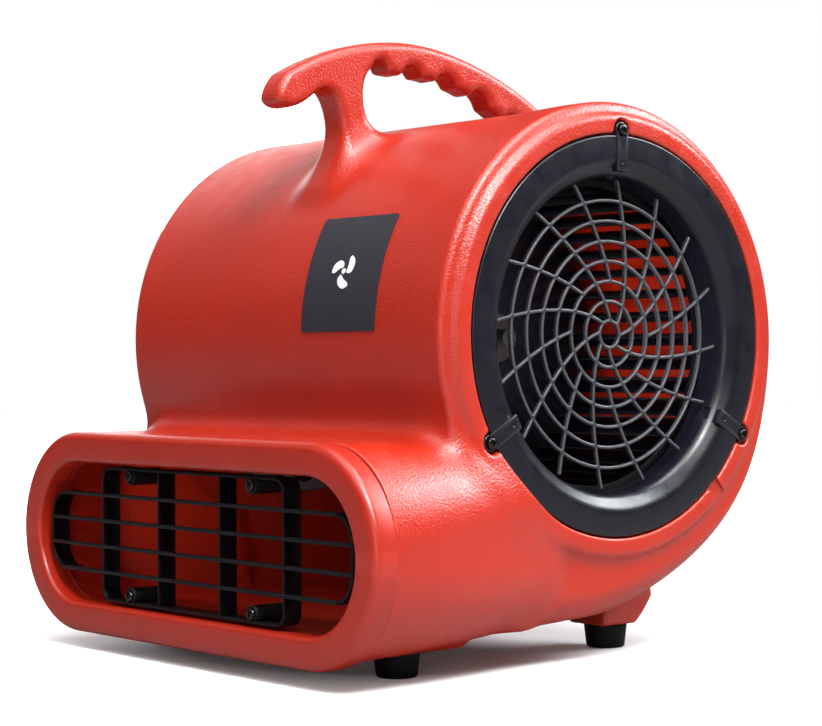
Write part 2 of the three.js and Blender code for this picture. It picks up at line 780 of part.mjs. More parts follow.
// The cover: a vented flange in the housing's recess, with a drum that the cord winds round.
function serviceCover() {
  const [flangeBackX, faceX] = [PLATE_X - GAP, LEFT_X];
  const [wall, dishR] = [3, 40];
  const profile = [
    [RIM_INNER_R - 1, flangeBackX],
    [RIM_INNER_R - 1, faceX + 1],
    [RIM_INNER_R - 2, faceX],
    [DRUM_R, faceX],
    [DRUM_R, DRUM_END_X + 2.5],
    [DRUM_LIP_R, DRUM_END_X + 2.5],
    [DRUM_LIP_R, DRUM_END_X],
    [dishR + 4, DRUM_END_X],
    [dishR, DRUM_END_X + 4],
    [dishR, DIAL_X],
    [0, DIAL_X],
    [0, DIAL_X + wall],
    [dishR + wall, DIAL_X + wall],
    [dishR + wall, DRUM_END_X + 2 * wall],
    [DRUM_R - wall, DRUM_END_X + 2 * wall],
    [DRUM_R - wall, flangeBackX],
    [RIM_INNER_R - 1, flangeBackX],
  ];
  const slots = [];
  for (let angle = 0; angle < 360; angle += 18) {
    const fromGland = Math.abs(angle - 270);
    if (fromGland > 12) slots.push(spokeBlock(angle, [93, 108], 4.5, [faceX - 1, flangeBackX + 1]));
  }
  return cut(turnX(profile, ROUND), [
    ...slots,
    rodX(7, faceX - 1, flangeBackX + 1, 12, ...around(GLAND_R, 270)),
    rodX(5.6, DIAL_X - 1, DIAL_X + wall + 1, 12),
    ...SCREW_ANGLES.map((angle) =>
      rodX(1.9, faceX - 1, flangeBackX + 1, 6, ...around(COVER_SCREW_CIRCLE_R, angle)),
    ),
  ]);
}

// The rotary switch: a square body behind the dial, a threaded bush through it, and its nut in front.
function speedSwitch() {
  const [half, bodyFrontX] = [14, DIAL_X + 3 + GAP];
  const body = block([bodyFrontX, -half, AXIS_Z - half], [bodyFrontX + 20, half, AXIS_Z + half]);
  const bush = rodX(5, DIAL_X - 3, bodyFrontX + 1, 12);
  return cut(join([body, bush]), [rodX(3.3, DIAL_X - 4, DIAL_X + 6, 12)]);
}

const switchNut = () =>
  cut(rodX(8, DIAL_X - 2.9, DIAL_X - 1.1 - GAP, 6), [rodX(5.6, DIAL_X - 4, DIAL_X, 12)]);

const dialPlate = () => tubeX(5.6, 34, DIAL_X - 1.1, DIAL_X - GAP, 20);

// The knob: a skirt with a raised grip bar and a pointer notch, on a spindle that enters the switch.
function speedKnob() {
  const [backX, skirtX, frontX] = [DIAL_X - 3.5, DIAL_X - 6.5, DRUM_END_X - 1.5];
  const skirt = rodX(17, skirtX, backX, 24);
  const grip = block([frontX, -4.5, AXIS_Z - 15], [skirtX + 1, 4.5, AXIS_Z + 15]);
  const spindle = rodX(3, backX - 1, DIAL_X + 5, 12);
  const pointer = block([frontX - 1, -0.8, AXIS_Z + 6], [frontX + 0.8, 0.8, AXIS_Z + 16]);
  return cut(join([skirt, grip, spindle]), [pointer]);
}

function cordGland() {
  const [innerR, y, z] = [CORD_R + 0.9, ...around(GLAND_R, 270)];
  const profile = [
    [innerR, -164],
    [6.6, -164],
    [6.6, LEFT_X - GAP],
    [9, LEFT_X - GAP],
    [9, LEFT_X - 3],
    [6.4, LEFT_X - 3.5],
    [5.6, LEFT_X - 6],
    [innerR, LEFT_X - 6],
    [innerR, -164],
  ];
  return turnX(profile, 16, y, z);
}

// The cord leaves the gland, winds inwards round the drum in an outer layer, steps across,
// winds outwards again against the cover, and hangs down to the plug.
const OUTER_LAYER_X = -184.4;
const INNER_LAYER_X = -176.6;
const PLUG_X = -181;
const PLUG_TOP_Z = 176;

function cordPath() {
  const pointsPerTurn = 16;
  const innerR = DRUM_R + CORD_R + 3;
  const [startAngle, inwardTurns, stepTurns, outwardTurns] = [-130, 2.25, 1 / 3, 2.8];
  const total = inwardTurns + stepTurns + outwardTurns;
  const points = [-160, -166, LEFT_X - 2, LEFT_X - 8].map((x) => [x, ...around(GLAND_R, 270)]);
  points.push([OUTER_LAYER_X + 3, ...around(GLAND_R - 1, 265)]);
  points.push([OUTER_LAYER_X, ...around(GLAND_R - 5, 252)]);
  const endAngle = -360 * Math.ceil((360 * total - startAngle) / 360 - 0.5);
  const count = Math.round(((startAngle - endAngle) / 360) * pointsPerTurn);
  for (let i = 0; i <= count; i++) {
    const angle = startAngle + ((endAngle - startAngle) * i) / count;
    const turn = (startAngle - angle) / 360;
    const leftToInner = Math.max(0, inwardTurns - turn);
    const pastInner = Math.max(0, turn - inwardTurns - stepTurns);
    const across = Math.min(1, Math.max(0, (turn - inwardTurns) / stepTurns));
    const x = OUTER_LAYER_X + (INNER_LAYER_X - OUTER_LAYER_X) * across;
    points.push([x, ...around(innerR + CORD_PITCH * (leftToInner + pastInner), angle)]);
  }
  const [, endY] = points.at(-1);
  points.push([PLUG_X + 1.5, endY + 0.5, PLUG_TOP_Z + 16]);
  points.push([PLUG_X, endY, PLUG_TOP_Z + GAP]);
  return points;
}

// The plug body tapers from the cord end to its pin face.
function mainsPlug(y) {
  const ring = (z, halfY, halfX) => {
    const [cornerY, cornerX] = [0.5 * halfY, 0.5 * halfX];
    return [
      [halfX, -cornerY],
      [halfX, cornerY],
      [cornerX, halfY],
      [-cornerX, halfY],
      [-halfX, cornerY],
      [-halfX, -cornerY],
      [-cornerX, -halfY],
      [cornerX, -halfY],
    ].map(([x, dy]) => new THREE.Vector3(PLUG_X + x, y + dy, z));
  };
  return loft([
    ring(PLUG_TOP_Z, 5, 5),
    ring(PLUG_TOP_Z - 10, 6, 6),
    ring(PLUG_TOP_Z - 18, 13, 9),
    ring(PLUG_TOP_Z - 40, 16, 10.5),
    ring(PLUG_TOP_Z - 44, 15, 10),
  ]);
}

// A flat pin under the plug, turned about its own axis.
function plugPin(y, offsetX, offsetY, degrees) {
  const [width, thickness, length] = [6.3, 1.6, 17];
  const geometry = new THREE.BoxGeometry(thickness, width, length);
  geometry.rotateZ(radians(degrees));
  geometry.translate(PLUG_X + offsetX, y + offsetY, PLUG_TOP_Z - 44 - GAP - length / 2);
  return solid(geometry);
}

// ---- label and feet ----

// A thin film that follows the barrel above the outlet.
function labelPlate() {
  const [innerR, outerR] = [BARREL_R + 0.6, BARREL_R + 1.2];
  const [low, high] = [radians(178.8), radians(149)];
  const shape = new THREE.Shape();
  shape.absarc(0, AXIS_Z, outerR, high, low, false);
  shape.absarc(0, AXIS_Z, innerR, low, high, true);
  shape.closePath();
  return extrudeX(shape, 28, 102, { curves: 6 });
}

function foot(x, y) {
  const [holeR, seatR, seatZ] = [1.9, 5.5, 8];
  const profile = [
    [holeR, FOOT_HEIGHT],
    [FOOT_TOP_R, FOOT_HEIGHT],
    [FOOT_BOTTOM_R, 1],
    [FOOT_BOTTOM_R - 1, 0],
    [seatR, 0],
    [seatR, seatZ],
    [holeR, seatZ],
    [holeR, FOOT_HEIGHT],
  ];
  return turned(profile, 16, WAY.up, [x, y, 0]);
}

// ---- the assembly ----

place("housing", housing(), RED_PLASTIC);
place("outlet_collar", outletCollar(), COLLAR_PLASTIC);
place("outlet_grille", outletGrille(), BLACK_PLASTIC);
GRILLE_SCREWS.forEach(([x, z], i) => {
  const seat = [x, GRILLE_FRONT_Y + 1 - GAP, z];
  place(`grille_screw_${i + 1}`, screw(seat, WAY.front, 30, 3.9), BLACK_STEEL);
});

place("inlet_ring", inletRing(), BLACK_PLASTIC);
place("inlet_guard", inletGuard(), GUARD_PLASTIC);
SCREW_ANGLES.forEach((angle, i) => {
  const seat = [RIM_X - 0.5 + GAP, ...around(SCREW_CIRCLE_R, angle)];
  place(`inlet_screw_${i + 1}`, screw(seat, WAY.right, 16, 3.6), BLACK_STEEL);
});
place("label_plate", labelPlate(), LABEL_FILM);

place("impeller", impeller(), BLACK_PLASTIC);
place("impeller_hub", impellerHub(), LAMINATION);
place("hub_set_screw", hubSetScrew(), BLACK_STEEL);
place("rotor_shaft", rotorShaft(), BRIGHT_STEEL);
place("rotor_core", rotorCore(), LAMINATION);
place("stator_core", statorCore(), LAMINATION);
place("rear_winding", windingHead(STATOR_BACK_X - 18, STATOR_BACK_X - GAP), COPPER);
place("front_winding", windingHead(STATOR_FRONT_X + GAP, STATOR_FRONT_X + 18), COPPER);
place("motor_can", motorCan(), MOTOR_PAINT);
place("rear_end_bell", endBell(MOTOR_BACK_X, 1), MOTOR_PAINT);
place("front_end_bell", endBell(MOTOR_FRONT_X, -1), MOTOR_PAINT);
place("rear_bearing", bearing(MOTOR_BACK_X - 9.4), BRIGHT_STEEL);
place("front_bearing", bearing(MOTOR_FRONT_X + 0.4), BRIGHT_STEEL);
place("motor_plate", motorPlate(), MOTOR_PAINT);
MOTOR_BOLT_ANGLES.forEach((angle, i) => {
  place(`motor_spacer_${i + 1}`, motorSpacer(angle), BRIGHT_STEEL);
  const seat = [PLATE_X - GAP, ...around(MOTOR_BOLT_CIRCLE_R, angle)];
  place(`motor_bolt_${i + 1}`, screw(seat, WAY.left, 17.5, 3.6), BRIGHT_STEEL);
});
place("capacitor", capacitor(), GREY_PLASTIC);
place("capacitor_clamp", capacitorClamp(), BRIGHT_STEEL);

place("service_cover", serviceCover(), BLACK_PLASTIC);
SCREW_ANGLES.forEach((angle, i) => {
  const seat = [LEFT_X - GAP, ...around(COVER_SCREW_CIRCLE_R, angle)];
  place(`cover_screw_${i + 1}`, screw(seat, WAY.left, 20, 3.6), BLACK_STEEL);
});
place("speed_switch", speedSwitch(), GREY_PLASTIC);
place("switch_nut", switchNut(), BRIGHT_STEEL);
place("dial_plate", dialPlate(), BRIGHT_STEEL);
place("speed_knob", speedKnob(), BLACK_PLASTIC);
place("cord_gland", cordGland(), BLACK_PLASTIC);

const path = cordPath();
const plugY = path.at(-1)[1];
place("power_cord", bar(path, CORD_R, 6), RUBBER);
place("mains_plug", mainsPlug(plugY), RUBBER);
place("plug_pin_live", plugPin(plugY, 4, -6.5, 30), BRASS);
place("plug_pin_neutral", plugPin(plugY, 4, 6.5, -30), BRASS);
place("plug_pin_earth", plugPin(plugY, -4.5, 0, 90), BRASS);

FOOT_PLACES.forEach(([corner, x, y]) => {
  place(`foot_${corner}`, foot(x, y), RUBBER);
  place(`foot_screw_${corner}`, screw([x, y, 8 - GAP], WAY.down, 18, 4.6), BRIGHT_STEEL);
});

root.position.y = -(MOUTH_Y + BARREL_R) / 2;

export default root;
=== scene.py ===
"""Looks of a compact commercial air mover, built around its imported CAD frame.

Shapes are worked out in millimetres, measured from the floor under the fan axis:
+X points out of the guarded inlet, -Y out of the outlet, +Z up. build() turns them into
metres in the frame. Angles round the fan axis run from +Y towards +Z.
"""

import cmath
import json
import math

import bpy
import numpy as np
from mathutils import Matrix, Vector


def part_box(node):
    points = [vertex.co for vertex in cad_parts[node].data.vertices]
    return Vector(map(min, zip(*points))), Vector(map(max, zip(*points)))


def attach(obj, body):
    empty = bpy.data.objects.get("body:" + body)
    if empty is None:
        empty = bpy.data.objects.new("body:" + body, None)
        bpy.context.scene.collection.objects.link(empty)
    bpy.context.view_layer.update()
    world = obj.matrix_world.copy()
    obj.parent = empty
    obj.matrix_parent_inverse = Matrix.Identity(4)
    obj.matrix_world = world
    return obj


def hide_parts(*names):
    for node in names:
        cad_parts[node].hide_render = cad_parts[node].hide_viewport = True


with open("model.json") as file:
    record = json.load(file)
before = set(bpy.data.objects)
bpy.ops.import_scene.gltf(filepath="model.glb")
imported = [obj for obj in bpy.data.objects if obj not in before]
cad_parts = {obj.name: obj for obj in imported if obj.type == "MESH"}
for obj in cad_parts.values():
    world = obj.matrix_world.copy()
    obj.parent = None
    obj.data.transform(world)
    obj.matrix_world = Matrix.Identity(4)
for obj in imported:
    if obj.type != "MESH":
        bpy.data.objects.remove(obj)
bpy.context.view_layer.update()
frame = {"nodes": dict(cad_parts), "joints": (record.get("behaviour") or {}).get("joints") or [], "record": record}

SPIN = next(joint for joint in frame["joints"] if joint["name"] == "impeller_spin")
AXIS_Y, AXIS_Z = (1000 * value for value in SPIN["pos_m"][1:])


def node_box(node):
    """Lowest and highest corner of a CAD node, in millimetres from the floor under the axis."""
    shift = np.array([0, AXIS_Y, 0])
    return [1000 * np.array(corner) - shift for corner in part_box(node)]


def node_middle(node):
    low, high = node_box(node)
    return (low + high) / 2


# ---- sizes taken from the frame ----

HOUSING_HIGH = node_box("housing")[1]
COLLAR_LOW, COLLAR_HIGH = node_box("outlet_collar")
RING_HIGH = node_box("inlet_ring")[1]
GUARD_HIGH = node_box("inlet_guard")[1]
WHEEL_LOW, WHEEL_HIGH = node_box("impeller")
COVER_LOW = node_box("service_cover")[0]
GRILLE_LOW, GRILLE_HIGH = node_box("outlet_grille")
LABEL_LOW, LABEL_HIGH = node_box("label_plate")
DIAL_HIGH = node_box("dial_plate")[1]
PLUG_LOW, PLUG_HIGH = node_box("mains_plug")
GLAND_Z = node_middle("cord_gland")[2]

BARREL_R = round(HOUSING_HIGH[1])
RING_R = round(RING_HIGH[1])
WHEEL_R = round(WHEEL_HIGH[1])
GUARD_R = GUARD_HIGH[1]
MOUTH_Y = COLLAR_LOW[1]
COLLAR_BACK_Y = COLLAR_HIGH[1] + 0.3
MOUTH_Z = (COLLAR_LOW[2] + COLLAR_HIGH[2]) / 2
COLLAR_HALF = (COLLAR_HIGH[0], (COLLAR_HIGH[2] - COLLAR_LOW[2]) / 2)
DIAL_X = DIAL_HIGH[0] + 0.3
DRUM_END_X = COVER_LOW[0]

# ---- sizes of the moulded shapes ----

LEFT_X, SIDE_X, RIM_X = -170, 165, 170
RIM_INNER_R, RIM_OUTER_R = 128, 139
WALL, LEFT_WALL, SERVICE_RECESS = 4, 11, 7
BELLY_Z = 22
SCROLL_Y, SCROLL_R = -41.5, 188.6
SCROLL_Z = BELLY_Z + SCROLL_R
SCREW_ANGLES = (90, 210, 330)
SCREW_CIRCLE_R = 130.2
MOUTH_HALF = (173.8, 46.9)
THROAT_R, THROAT_END_X = 99.5, 146


# ---- meshes ----

def placed(name, data):
    """A new object in the scene."""
    thing = bpy.data.objects.new(name, data)
    bpy.context.scene.collection.objects.link(thing)
    return thing


def mesh_object(name, points, faces):
    mesh = bpy.data.meshes.new(name)
    mesh.from_pydata(np.asarray(points, float).tolist(), [], faces)
    return placed(name, mesh)


def build(name, points, faces, material, nodes=(), sharp=30, body="machine", normals=None):
    """A piece from points in millimetres and faces, riding on a body and standing for CAD nodes."""
    piece = mesh_object(name, (np.asarray(points, float) + [0, AXIS_Y, 0]) / 1000, faces)
    dress(piece, material, nodes, sharp, body, normals)


def dress(piece, material, nodes=(), sharp=30, body="machine", normals=None):
    """Shades a piece, gives it its material and fixes it to its body."""
    finish, slot = MATERIALS[material]
    piece.data.materials.clear()
    piece.data.materials.append(finish)
    piece.data.shade_smooth()
    if normals is not None:
        piece.data.normals_split_custom_set_from_vertices(normals)
    elif sharp:
        piece.data.set_sharp_from_angle(angle=math.radians(sharp))
    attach(piece, body)
    if nodes:
        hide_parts(*nodes)


def joined(parts):
    """One list of points and faces from several."""
    points, faces, start = [], [], 0
    for some_points, some_faces in parts:
        points.extend(np.asarray(some_points, float).tolist())
        faces.extend([[start + corner for corner in face] for face in some_faces])
        start += len(some_points)
    return points, faces


def merge(name, parts, cuts=()):
    """Solid union of closed parts, less the cuts, as points and faces in millimetres."""
    base = mesh_object(name, *parts[0])
    helpers = []
    for operation, solids in (("UNION", parts[1:]), ("DIFFERENCE", cuts)):
        for solid in solids:
            helpers.append(mesh_object(name + "_tool", *solid))
            change = base.modifiers.new(operation, "BOOLEAN")
            change.operation = operation
            change.solver = "MANIFOLD"
            change.object = helpers[-1]
    bpy.context.view_layer.update()
    result = base.evaluated_get(bpy.context.evaluated_depsgraph_get()).to_mesh()
    points = np.empty(3 * len(result.vertices))
    result.vertices.foreach_get("co", points)
    faces = [list(polygon.vertices) for polygon in result.polygons]
    for thing in (base, *helpers):
        mesh = thing.data
        bpy.data.objects.remove(thing)
        bpy.data.meshes.remove(mesh)
    return points.reshape(-1, 3), faces


def filleted(corners, steps=5):
    """A line through (a, b, radius) corners, with an arc of that radius at each corner."""
    line = []
    for i, (a, b, radius) in enumerate(corners):
        here = complex(a, b)
        if radius == 0 or i in (0, len(corners) - 1):
            line.append(here)
            continue
        before, after = (complex(*corners[k][:2]) - here for k in (i - 1, i + 1))
        longest = 0.49 * min(abs(before), abs(after))
        before, after = before / abs(before), after / abs(after)
        half = abs(cmath.phase(after / before)) / 2
        reach = min(radius / math.tan(half), longest)
        middle = before + after
        centre = here + middle / abs(middle) * reach / math.cos(half)
        start, end = here + before * reach - centre, here + after * reach - centre
        turn = cmath.phase(end / start)
        line += [centre + start * cmath.exp(1j * turn * step / steps) for step in range(steps + 1)]
    return np.array([(point.real, point.imag) for point in line])


def grid_faces(rows, columns, wrap_rows=False, wrap_columns=False):
    """Quads over a grid of points stored row by row."""
    faces = []
    for i in range(rows if wrap_rows else rows - 1):
        here, there = i * columns, (i + 1) % rows * columns
        for j in range(columns if wrap_columns else columns - 1):
            k = (j + 1) % columns
            faces.append((here + j, here + k, there + k, there + j))
    return faces


FRAMES = {
    "+x": ((0, 1, 0), (0, 0, 1), (1, 0, 0)),
    "-x": ((0, -1, 0), (0, 0, 1), (-1, 0, 0)),
    "-y": ((1, 0, 0), (0, 0, 1), (0, -1, 0)),
    "+z": ((1, 0, 0), (0, 1, 0), (0, 0, 1)),
    "-z": ((-1, 0, 0), (0, 1, 0), (0, 0, -1)),
}


def turned(profile, segments=96, at=(0, 0, AXIS_Z), way="+x"):
    """(radius, height) points turned about the line from at along way. Ends at radius 0 are closed."""
    side, up, out = (np.array(axis, float) for axis in FRAMES[way])
    angles = 2 * math.pi * np.arange(segments) / segments
    rings = [[r * (math.cos(t) * side + math.sin(t) * up) + h * out + at for t in angles]
             for r, h in profile if r > 1e-9]
    start, end = profile[0], profile[-1]
    if start[0] < 1e-9:
        return pointed(rings, start[1] * out + at, end[1] * out + at)
    faces = grid_faces(len(rings), segments, wrap_rows=True, wrap_columns=True)
    return facing_out(np.array(rings).reshape(-1, 3), faces)


def cylinder(radius, low, high, segments, at=(0, 0, AXIS_Z), way="+x"):
    return turned([(0, low), (radius, low), (radius, high), (0, high)], segments, at, way)


def pointed(rings, start, end):
    """A closed skin over rings of points, with a fan of triangles from a point at each end."""
    count, segments = len(rings), len(rings[0])
    faces = grid_faces(count, segments, wrap_columns=True)
    first, last = count * segments, (count - 1) * segments
    for j in range(segments):
        k = (j + 1) % segments
        faces += [(first, k, j), (first + 1, last + j, last + k)]
    return facing_out(np.vstack([np.array(rings).reshape(-1, 3), start, end]), faces)


def facing_out(points, faces):
    """The same closed mesh with its faces pointing outwards."""
    points = np.asarray(points, float)
    volume = 0
    for face in faces:
        a = points[face[0]]
        for i in range(1, len(face) - 1):
            volume += a @ np.cross(points[face[i]], points[face[i + 1]])
    return points, ([tuple(reversed(face)) for face in faces] if volume < 0 else faces)


def swept(sections):
    """A closed skin over rings of points, with flat ends."""
    rings = np.array(sections, float)
    count = rings.shape[1]
    faces = grid_faces(len(rings), count, wrap_columns=True)
    last = (len(rings) - 1) * count
    faces += [tuple(range(count))[::-1], tuple(range(last, last + count))]
    return facing_out(rings.reshape(-1, 3), faces)


def round_corners(half_a, half_b, corner, radius, steps):
    """Points round a rectangle with an arc of the radius about each corner's centre, as (a, b)."""
    points = []
    for quarter, (sign_a, sign_b) in enumerate(((1, 1), (-1, 1), (-1, -1), (1, -1))):
        for step in range(steps + 1):
            turn = math.pi / 2 * (quarter + step / steps)
            points.append((sign_a * (half_a - corner) + radius * math.cos(turn),
                           sign_b * (half_b - corner) + radius * math.sin(turn)))
    return np.array(points)


def soft_box(low, high, radius=0.6, steps=2):
    """A box with its long edges and its ends rounded over."""
    low, high = np.array(low, float), np.array(high, float)
    half, middle = (high - low) / 2, (low + high) / 2
    axis = int(np.argmax(half))
    u, v = [i for i in range(3) if i != axis]
    sections = []
    for sign in (-1, 1):
        for step in range(steps + 1)[::-sign]:
            angle = math.pi / 2 * step / steps
            ring = round_corners(half[u], half[v], radius, radius * math.sin(angle), steps)
            section = np.empty((len(ring), 3))
            section[:, [u, v]] = middle[[u, v]] + ring
            section[:, axis] = middle[axis] + sign * (half[axis] - radius * (1 - math.cos(angle)))
            sections.append(section)
    return swept(sections)


def around(radius, degrees):
    """The y and z of a point at a radius and an angle round the fan axis."""
    angle = math.radians(degrees)
    return radius * math.cos(angle), AXIS_Z + radius * math.sin(angle)


def spoke_box(degrees, inner, outer, width, low_x, high_x, radius=0.6):
    """A soft box that points away from the fan axis."""
    points, faces = soft_box((low_x, inner, -width / 2), (high_x, outer, width / 2), radius)
    c, s = math.cos(math.radians(degrees)), math.sin(math.radians(degrees))
    y, z = points[:, 1].copy(), points[:, 2].copy()
    points[:, 1], points[:, 2] = y * c - z * s, AXIS_Z + y * s + z * c
    return points, faces


def tube(path, radius, sides=20):
    """A round bar along a row of points. The section is carried along without twisting."""
    path = np.array(path, float)
    along = np.gradient(path, axis=0)
    along /= np.linalg.norm(along, axis=1)[:, None]
    normal = np.array([0.0, 1.0, 0.0])
    sections = []
    for centre, direction in zip(path, along):
        normal = normal - direction * (normal @ direction)
        normal /= np.linalg.norm(normal)
        across = np.cross(direction, normal)
        turn = 2 * math.pi * np.arange(sides) / sides
        sections.append(centre + radius * (np.outer(np.cos(turn), normal) + np.outer(np.sin(turn), across)))
    return swept(sections)


# ---- implicit surfaces ----
# A field gives the distance from a body's surface in millimetres, negative inside.

def blend_union(a, b, width):
    overlap = np.maximum(width - np.abs(a - b), 0) / width
    return np.minimum(a, b) - overlap * overlap * width / 4


def blend_common(a, b, width):
    return -blend_union(-a, -b, width)


def rounded(a, b, radius):
    """The body inside both faces a and b, with a round edge where they meet."""
    a, b = a + radius, b + radius
    return np.minimum(np.maximum(a, b), 0) + np.hypot(np.maximum(a, 0), np.maximum(b, 0)) - radius


def ease(value, start, end):
    """0 before start, 1 after end, and a smooth step between them."""
    t = np.clip((value - start) / (end - start), 0, 1)
    return t * t * (3 - 2 * t)


def outline_distance(y, z, corners):
    """Distance from a closed outline, negative inside."""
    nearest = np.full(y.shape, 1e12)
    inside = np.zeros(y.shape, bool)
    for (ay, az), (by, bz) in zip(corners, np.roll(corners, -1, axis=0)):
        dy, dz = by - ay, bz - az
        share = np.clip(((y - ay) * dy + (z - az) * dz) / (dy * dy + dz * dz), 0, 1)
        nearest = np.minimum(nearest, (y - ay - share * dy) ** 2 + (z - az - share * dz) ** 2)
        if dz:
            inside ^= ((az > z) != (bz > z)) & (y < dy * (z - az) / dz + ay)
    distance = np.sqrt(nearest)
    return np.where(inside, -distance, distance)


FAR = 60.0


def in_region(region, field, x, y, z):
    """A field that is only worked out where region is true, and FAR elsewhere."""
    result = np.full(x.shape, FAR)
    if region.any():
        result[region] = field(x[region], y[region], z[region])
    return result


def evaluate(field, points):
    """A field at many points, some at a time to save memory."""
    values = np.empty(len(points))
    for start in range(0, len(points), 400000):
        part = points[start:start + 400000]
        values[start:start + 400000] = field(part[:, 0], part[:, 1], part[:, 2])
    return values


CUBE = np.array([(i, j, k) for i in (0, 1) for j in (0, 1) for k in (0, 1)])
TETRAHEDRON = np.array([(1, -1, -1), (-1, -1, 1), (-1, 1, -1), (1, 1, 1)])


def slope(field, points, reach):
    """The field's mean value and its gradient at each point."""
    samples = [evaluate(field, points + reach * corner) for corner in TETRAHEDRON]
    gradient = sum(np.outer(value, corner) for value, corner in zip(samples, TETRAHEDRON))
    return sum(samples) / 4, gradient / (4 * reach)


def skin(field, axes, reach=0.25):
    """Points, quads and normals of a field's surface, by surface nets on a grid of three axes."""
    def place(indices):
        return np.stack([axes[i][indices[:, i]] for i in range(3)], -1)

    shape = tuple(len(axis) for axis in axes)
    widest = max(np.diff(axis).max() for axis in axes)
    block = 3
    centres = [axis[np.minimum(np.arange(1, len(axis) + 1, block), len(axis) - 1)] for axis in axes]
    coarse_points = np.stack(np.meshgrid(*centres, indexing="ij"), -1).reshape(-1, 3)
    values = evaluate(field, coarse_points).reshape([len(centre) for centre in centres])
    for axis in range(3):
        values = np.repeat(values, block, axis=axis)
    values = values[:shape[0], :shape[1], :shape[2]].copy()
    near = np.argwhere(np.abs(values) < 4.2 * widest)
    values[tuple(near.T)] = evaluate(field, place(near))

    inside = values < 0
    corner_count = np.zeros(tuple(n - 1 for n in shape), np.int8)
    for i, j, k in CUBE:
        corner_count += inside[i:shape[0] - 1 + i, j:shape[1] - 1 + j, k:shape[2] - 1 + k]
    cells = np.argwhere((corner_count > 0) & (corner_count < 8))
    number = np.full(corner_count.shape, -1, np.int64)
    number[tuple(cells.T)] = np.arange(len(cells))
    total, hits = np.zeros((len(cells), 3)), np.zeros(len(cells))
    for a in CUBE:
        for axis in range(3):
            if a[axis]:
                continue
            b = a.copy()
            b[axis] = 1
            at_a, at_b = values[tuple((cells + a).T)], values[tuple((cells + b).T)]
            cross = (at_a < 0) != (at_b < 0)
            share = np.where(cross, at_a / np.where(cross, at_a - at_b, 1), 0)
            start, end = place(cells + a), place(cells + b)
            total += np.where(cross[:, None], start + share[:, None] * (end - start), 0)
            hits += cross
    points = total / hits[:, None]

    quads = []
    units = np.eye(3, dtype=int)
    for axis in range(3):
        u, v = units[(axis + 1) % 3], units[(axis + 2) % 3]
        low = [slice(1, n - 1) for n in shape]
        high = list(low)
        low[axis], high[axis] = slice(0, shape[axis] - 1), slice(1, shape[axis])
        at_low, at_high = inside[tuple(low)], inside[tuple(high)]
        edges = np.argwhere(at_low != at_high)
        starts = at_low[tuple(edges.T)]
        base = edges + 1 - units[axis]
        quad = np.stack([number[tuple((base - step).T)] for step in (0 * u, u, u + v, v)], -1)
        quads.append(np.where(starts[:, None], quad, quad[:, ::-1]))
    smallest = min(np.diff(axis).min() for axis in axes)
    for _ in range(2):
        value, gradient = slope(field, points, reach)
        steep = np.maximum((gradient ** 2).sum(1), 0.25)
        move = np.clip(value / steep, -0.5 * smallest, 0.5 * smallest)
        points = points - gradient * move[:, None]
    normals = slope(field, points, reach)[1]
    normals /= np.maximum(np.linalg.norm(normals, axis=1), 1e-9)[:, None]
    return points, np.vstack(quads).tolist(), normals


def span(low, high, cell):
    """Grid values from low to high, about one cell apart."""
    return np.linspace(low, high, max(2, round((high - low) / cell) + 1))


# ---- materials ----

class Nodes:
    """A small helper that writes a material's node tree."""

    def __init__(self, name):
        self.material = bpy.data.materials.new(name)
        self.material.use_nodes = True
        self.tree = self.material.node_tree
        self.surface = self.tree.nodes["Principled BSDF"]
        self.place = self.add("ShaderNodeTexCoord").outputs["Object"]

    def add(self, kind, settings=None, **inputs):
        node = self.tree.nodes.new(kind)
        for key, value in (settings or {}).items():
            setattr(node, key, value)
        for key, value in inputs.items():
            self.put(node.inputs[key.replace("_", " ")], value)
        return node

    def put(self, socket, value):
        if isinstance(value, bpy.types.NodeSocket):
            self.tree.links.new(value, socket)
        else:
            socket.default_value = value

    def noise(self, size_mm, detail=4, roughness=0.55, place=None):
        return self.add("ShaderNodeTexNoise", Vector=place or self.place, Scale=1000 / size_mm,
                        Detail=detail, Roughness=roughness).outputs["Fac"]

    def cells(self, size_mm):
        return self.add("ShaderNodeTexVoronoi", {"feature": "SMOOTH_F1"}, Vector=self.place,
                        Scale=1000 / size_mm).outputs["Distance"]

    def spread(self, value, from_low, from_high, to_low, to_high):
        node = self.add("ShaderNodeMapRange")
        for i, item in enumerate((value, from_low, from_high, to_low, to_high)):
            self.put(node.inputs[i], item)
        return node.outputs["Result"]

    def math(self, operation, a, b=0.0):
        node = self.add("ShaderNodeMath", {"operation": operation})
        self.put(node.inputs[0], a)
        self.put(node.inputs[1], b)
        return node.outputs[0]

    def mix(self, share, a, b):
        node = self.add("ShaderNodeMix", {"data_type": "RGBA"})
        for socket, value in ((0, share), (6, a), (7, b)):
            self.put(node.inputs[socket], value)
        return node.outputs[2]

    def bump(self, height, depth_mm, strength=1.0, normal=None):
        node = self.add("ShaderNodeBump", Height=height, Distance=depth_mm / 1000, Strength=strength)
        if normal is not None:
            self.put(node.inputs["Normal"], normal)
        return node.outputs["Normal"]

    def edges(self):
        """1 on sharp outer edges and 0 on flat stretches."""
        pointiness = self.add("ShaderNodeNewGeometry").outputs["Pointiness"]
        return self.spread(pointiness, 0.51, 0.56, 0.0, 1.0)

    def finish(self, **values):
        """Sets inputs of the surface and gives the material back."""
        for key, value in values.items():
            self.put(self.surface.inputs[key.replace("_", " ")], value)
        return self.material


def rgb(colour, factor=1.0):
    return tuple(min(channel * factor, 1.0) for channel in colour) + (1.0,)


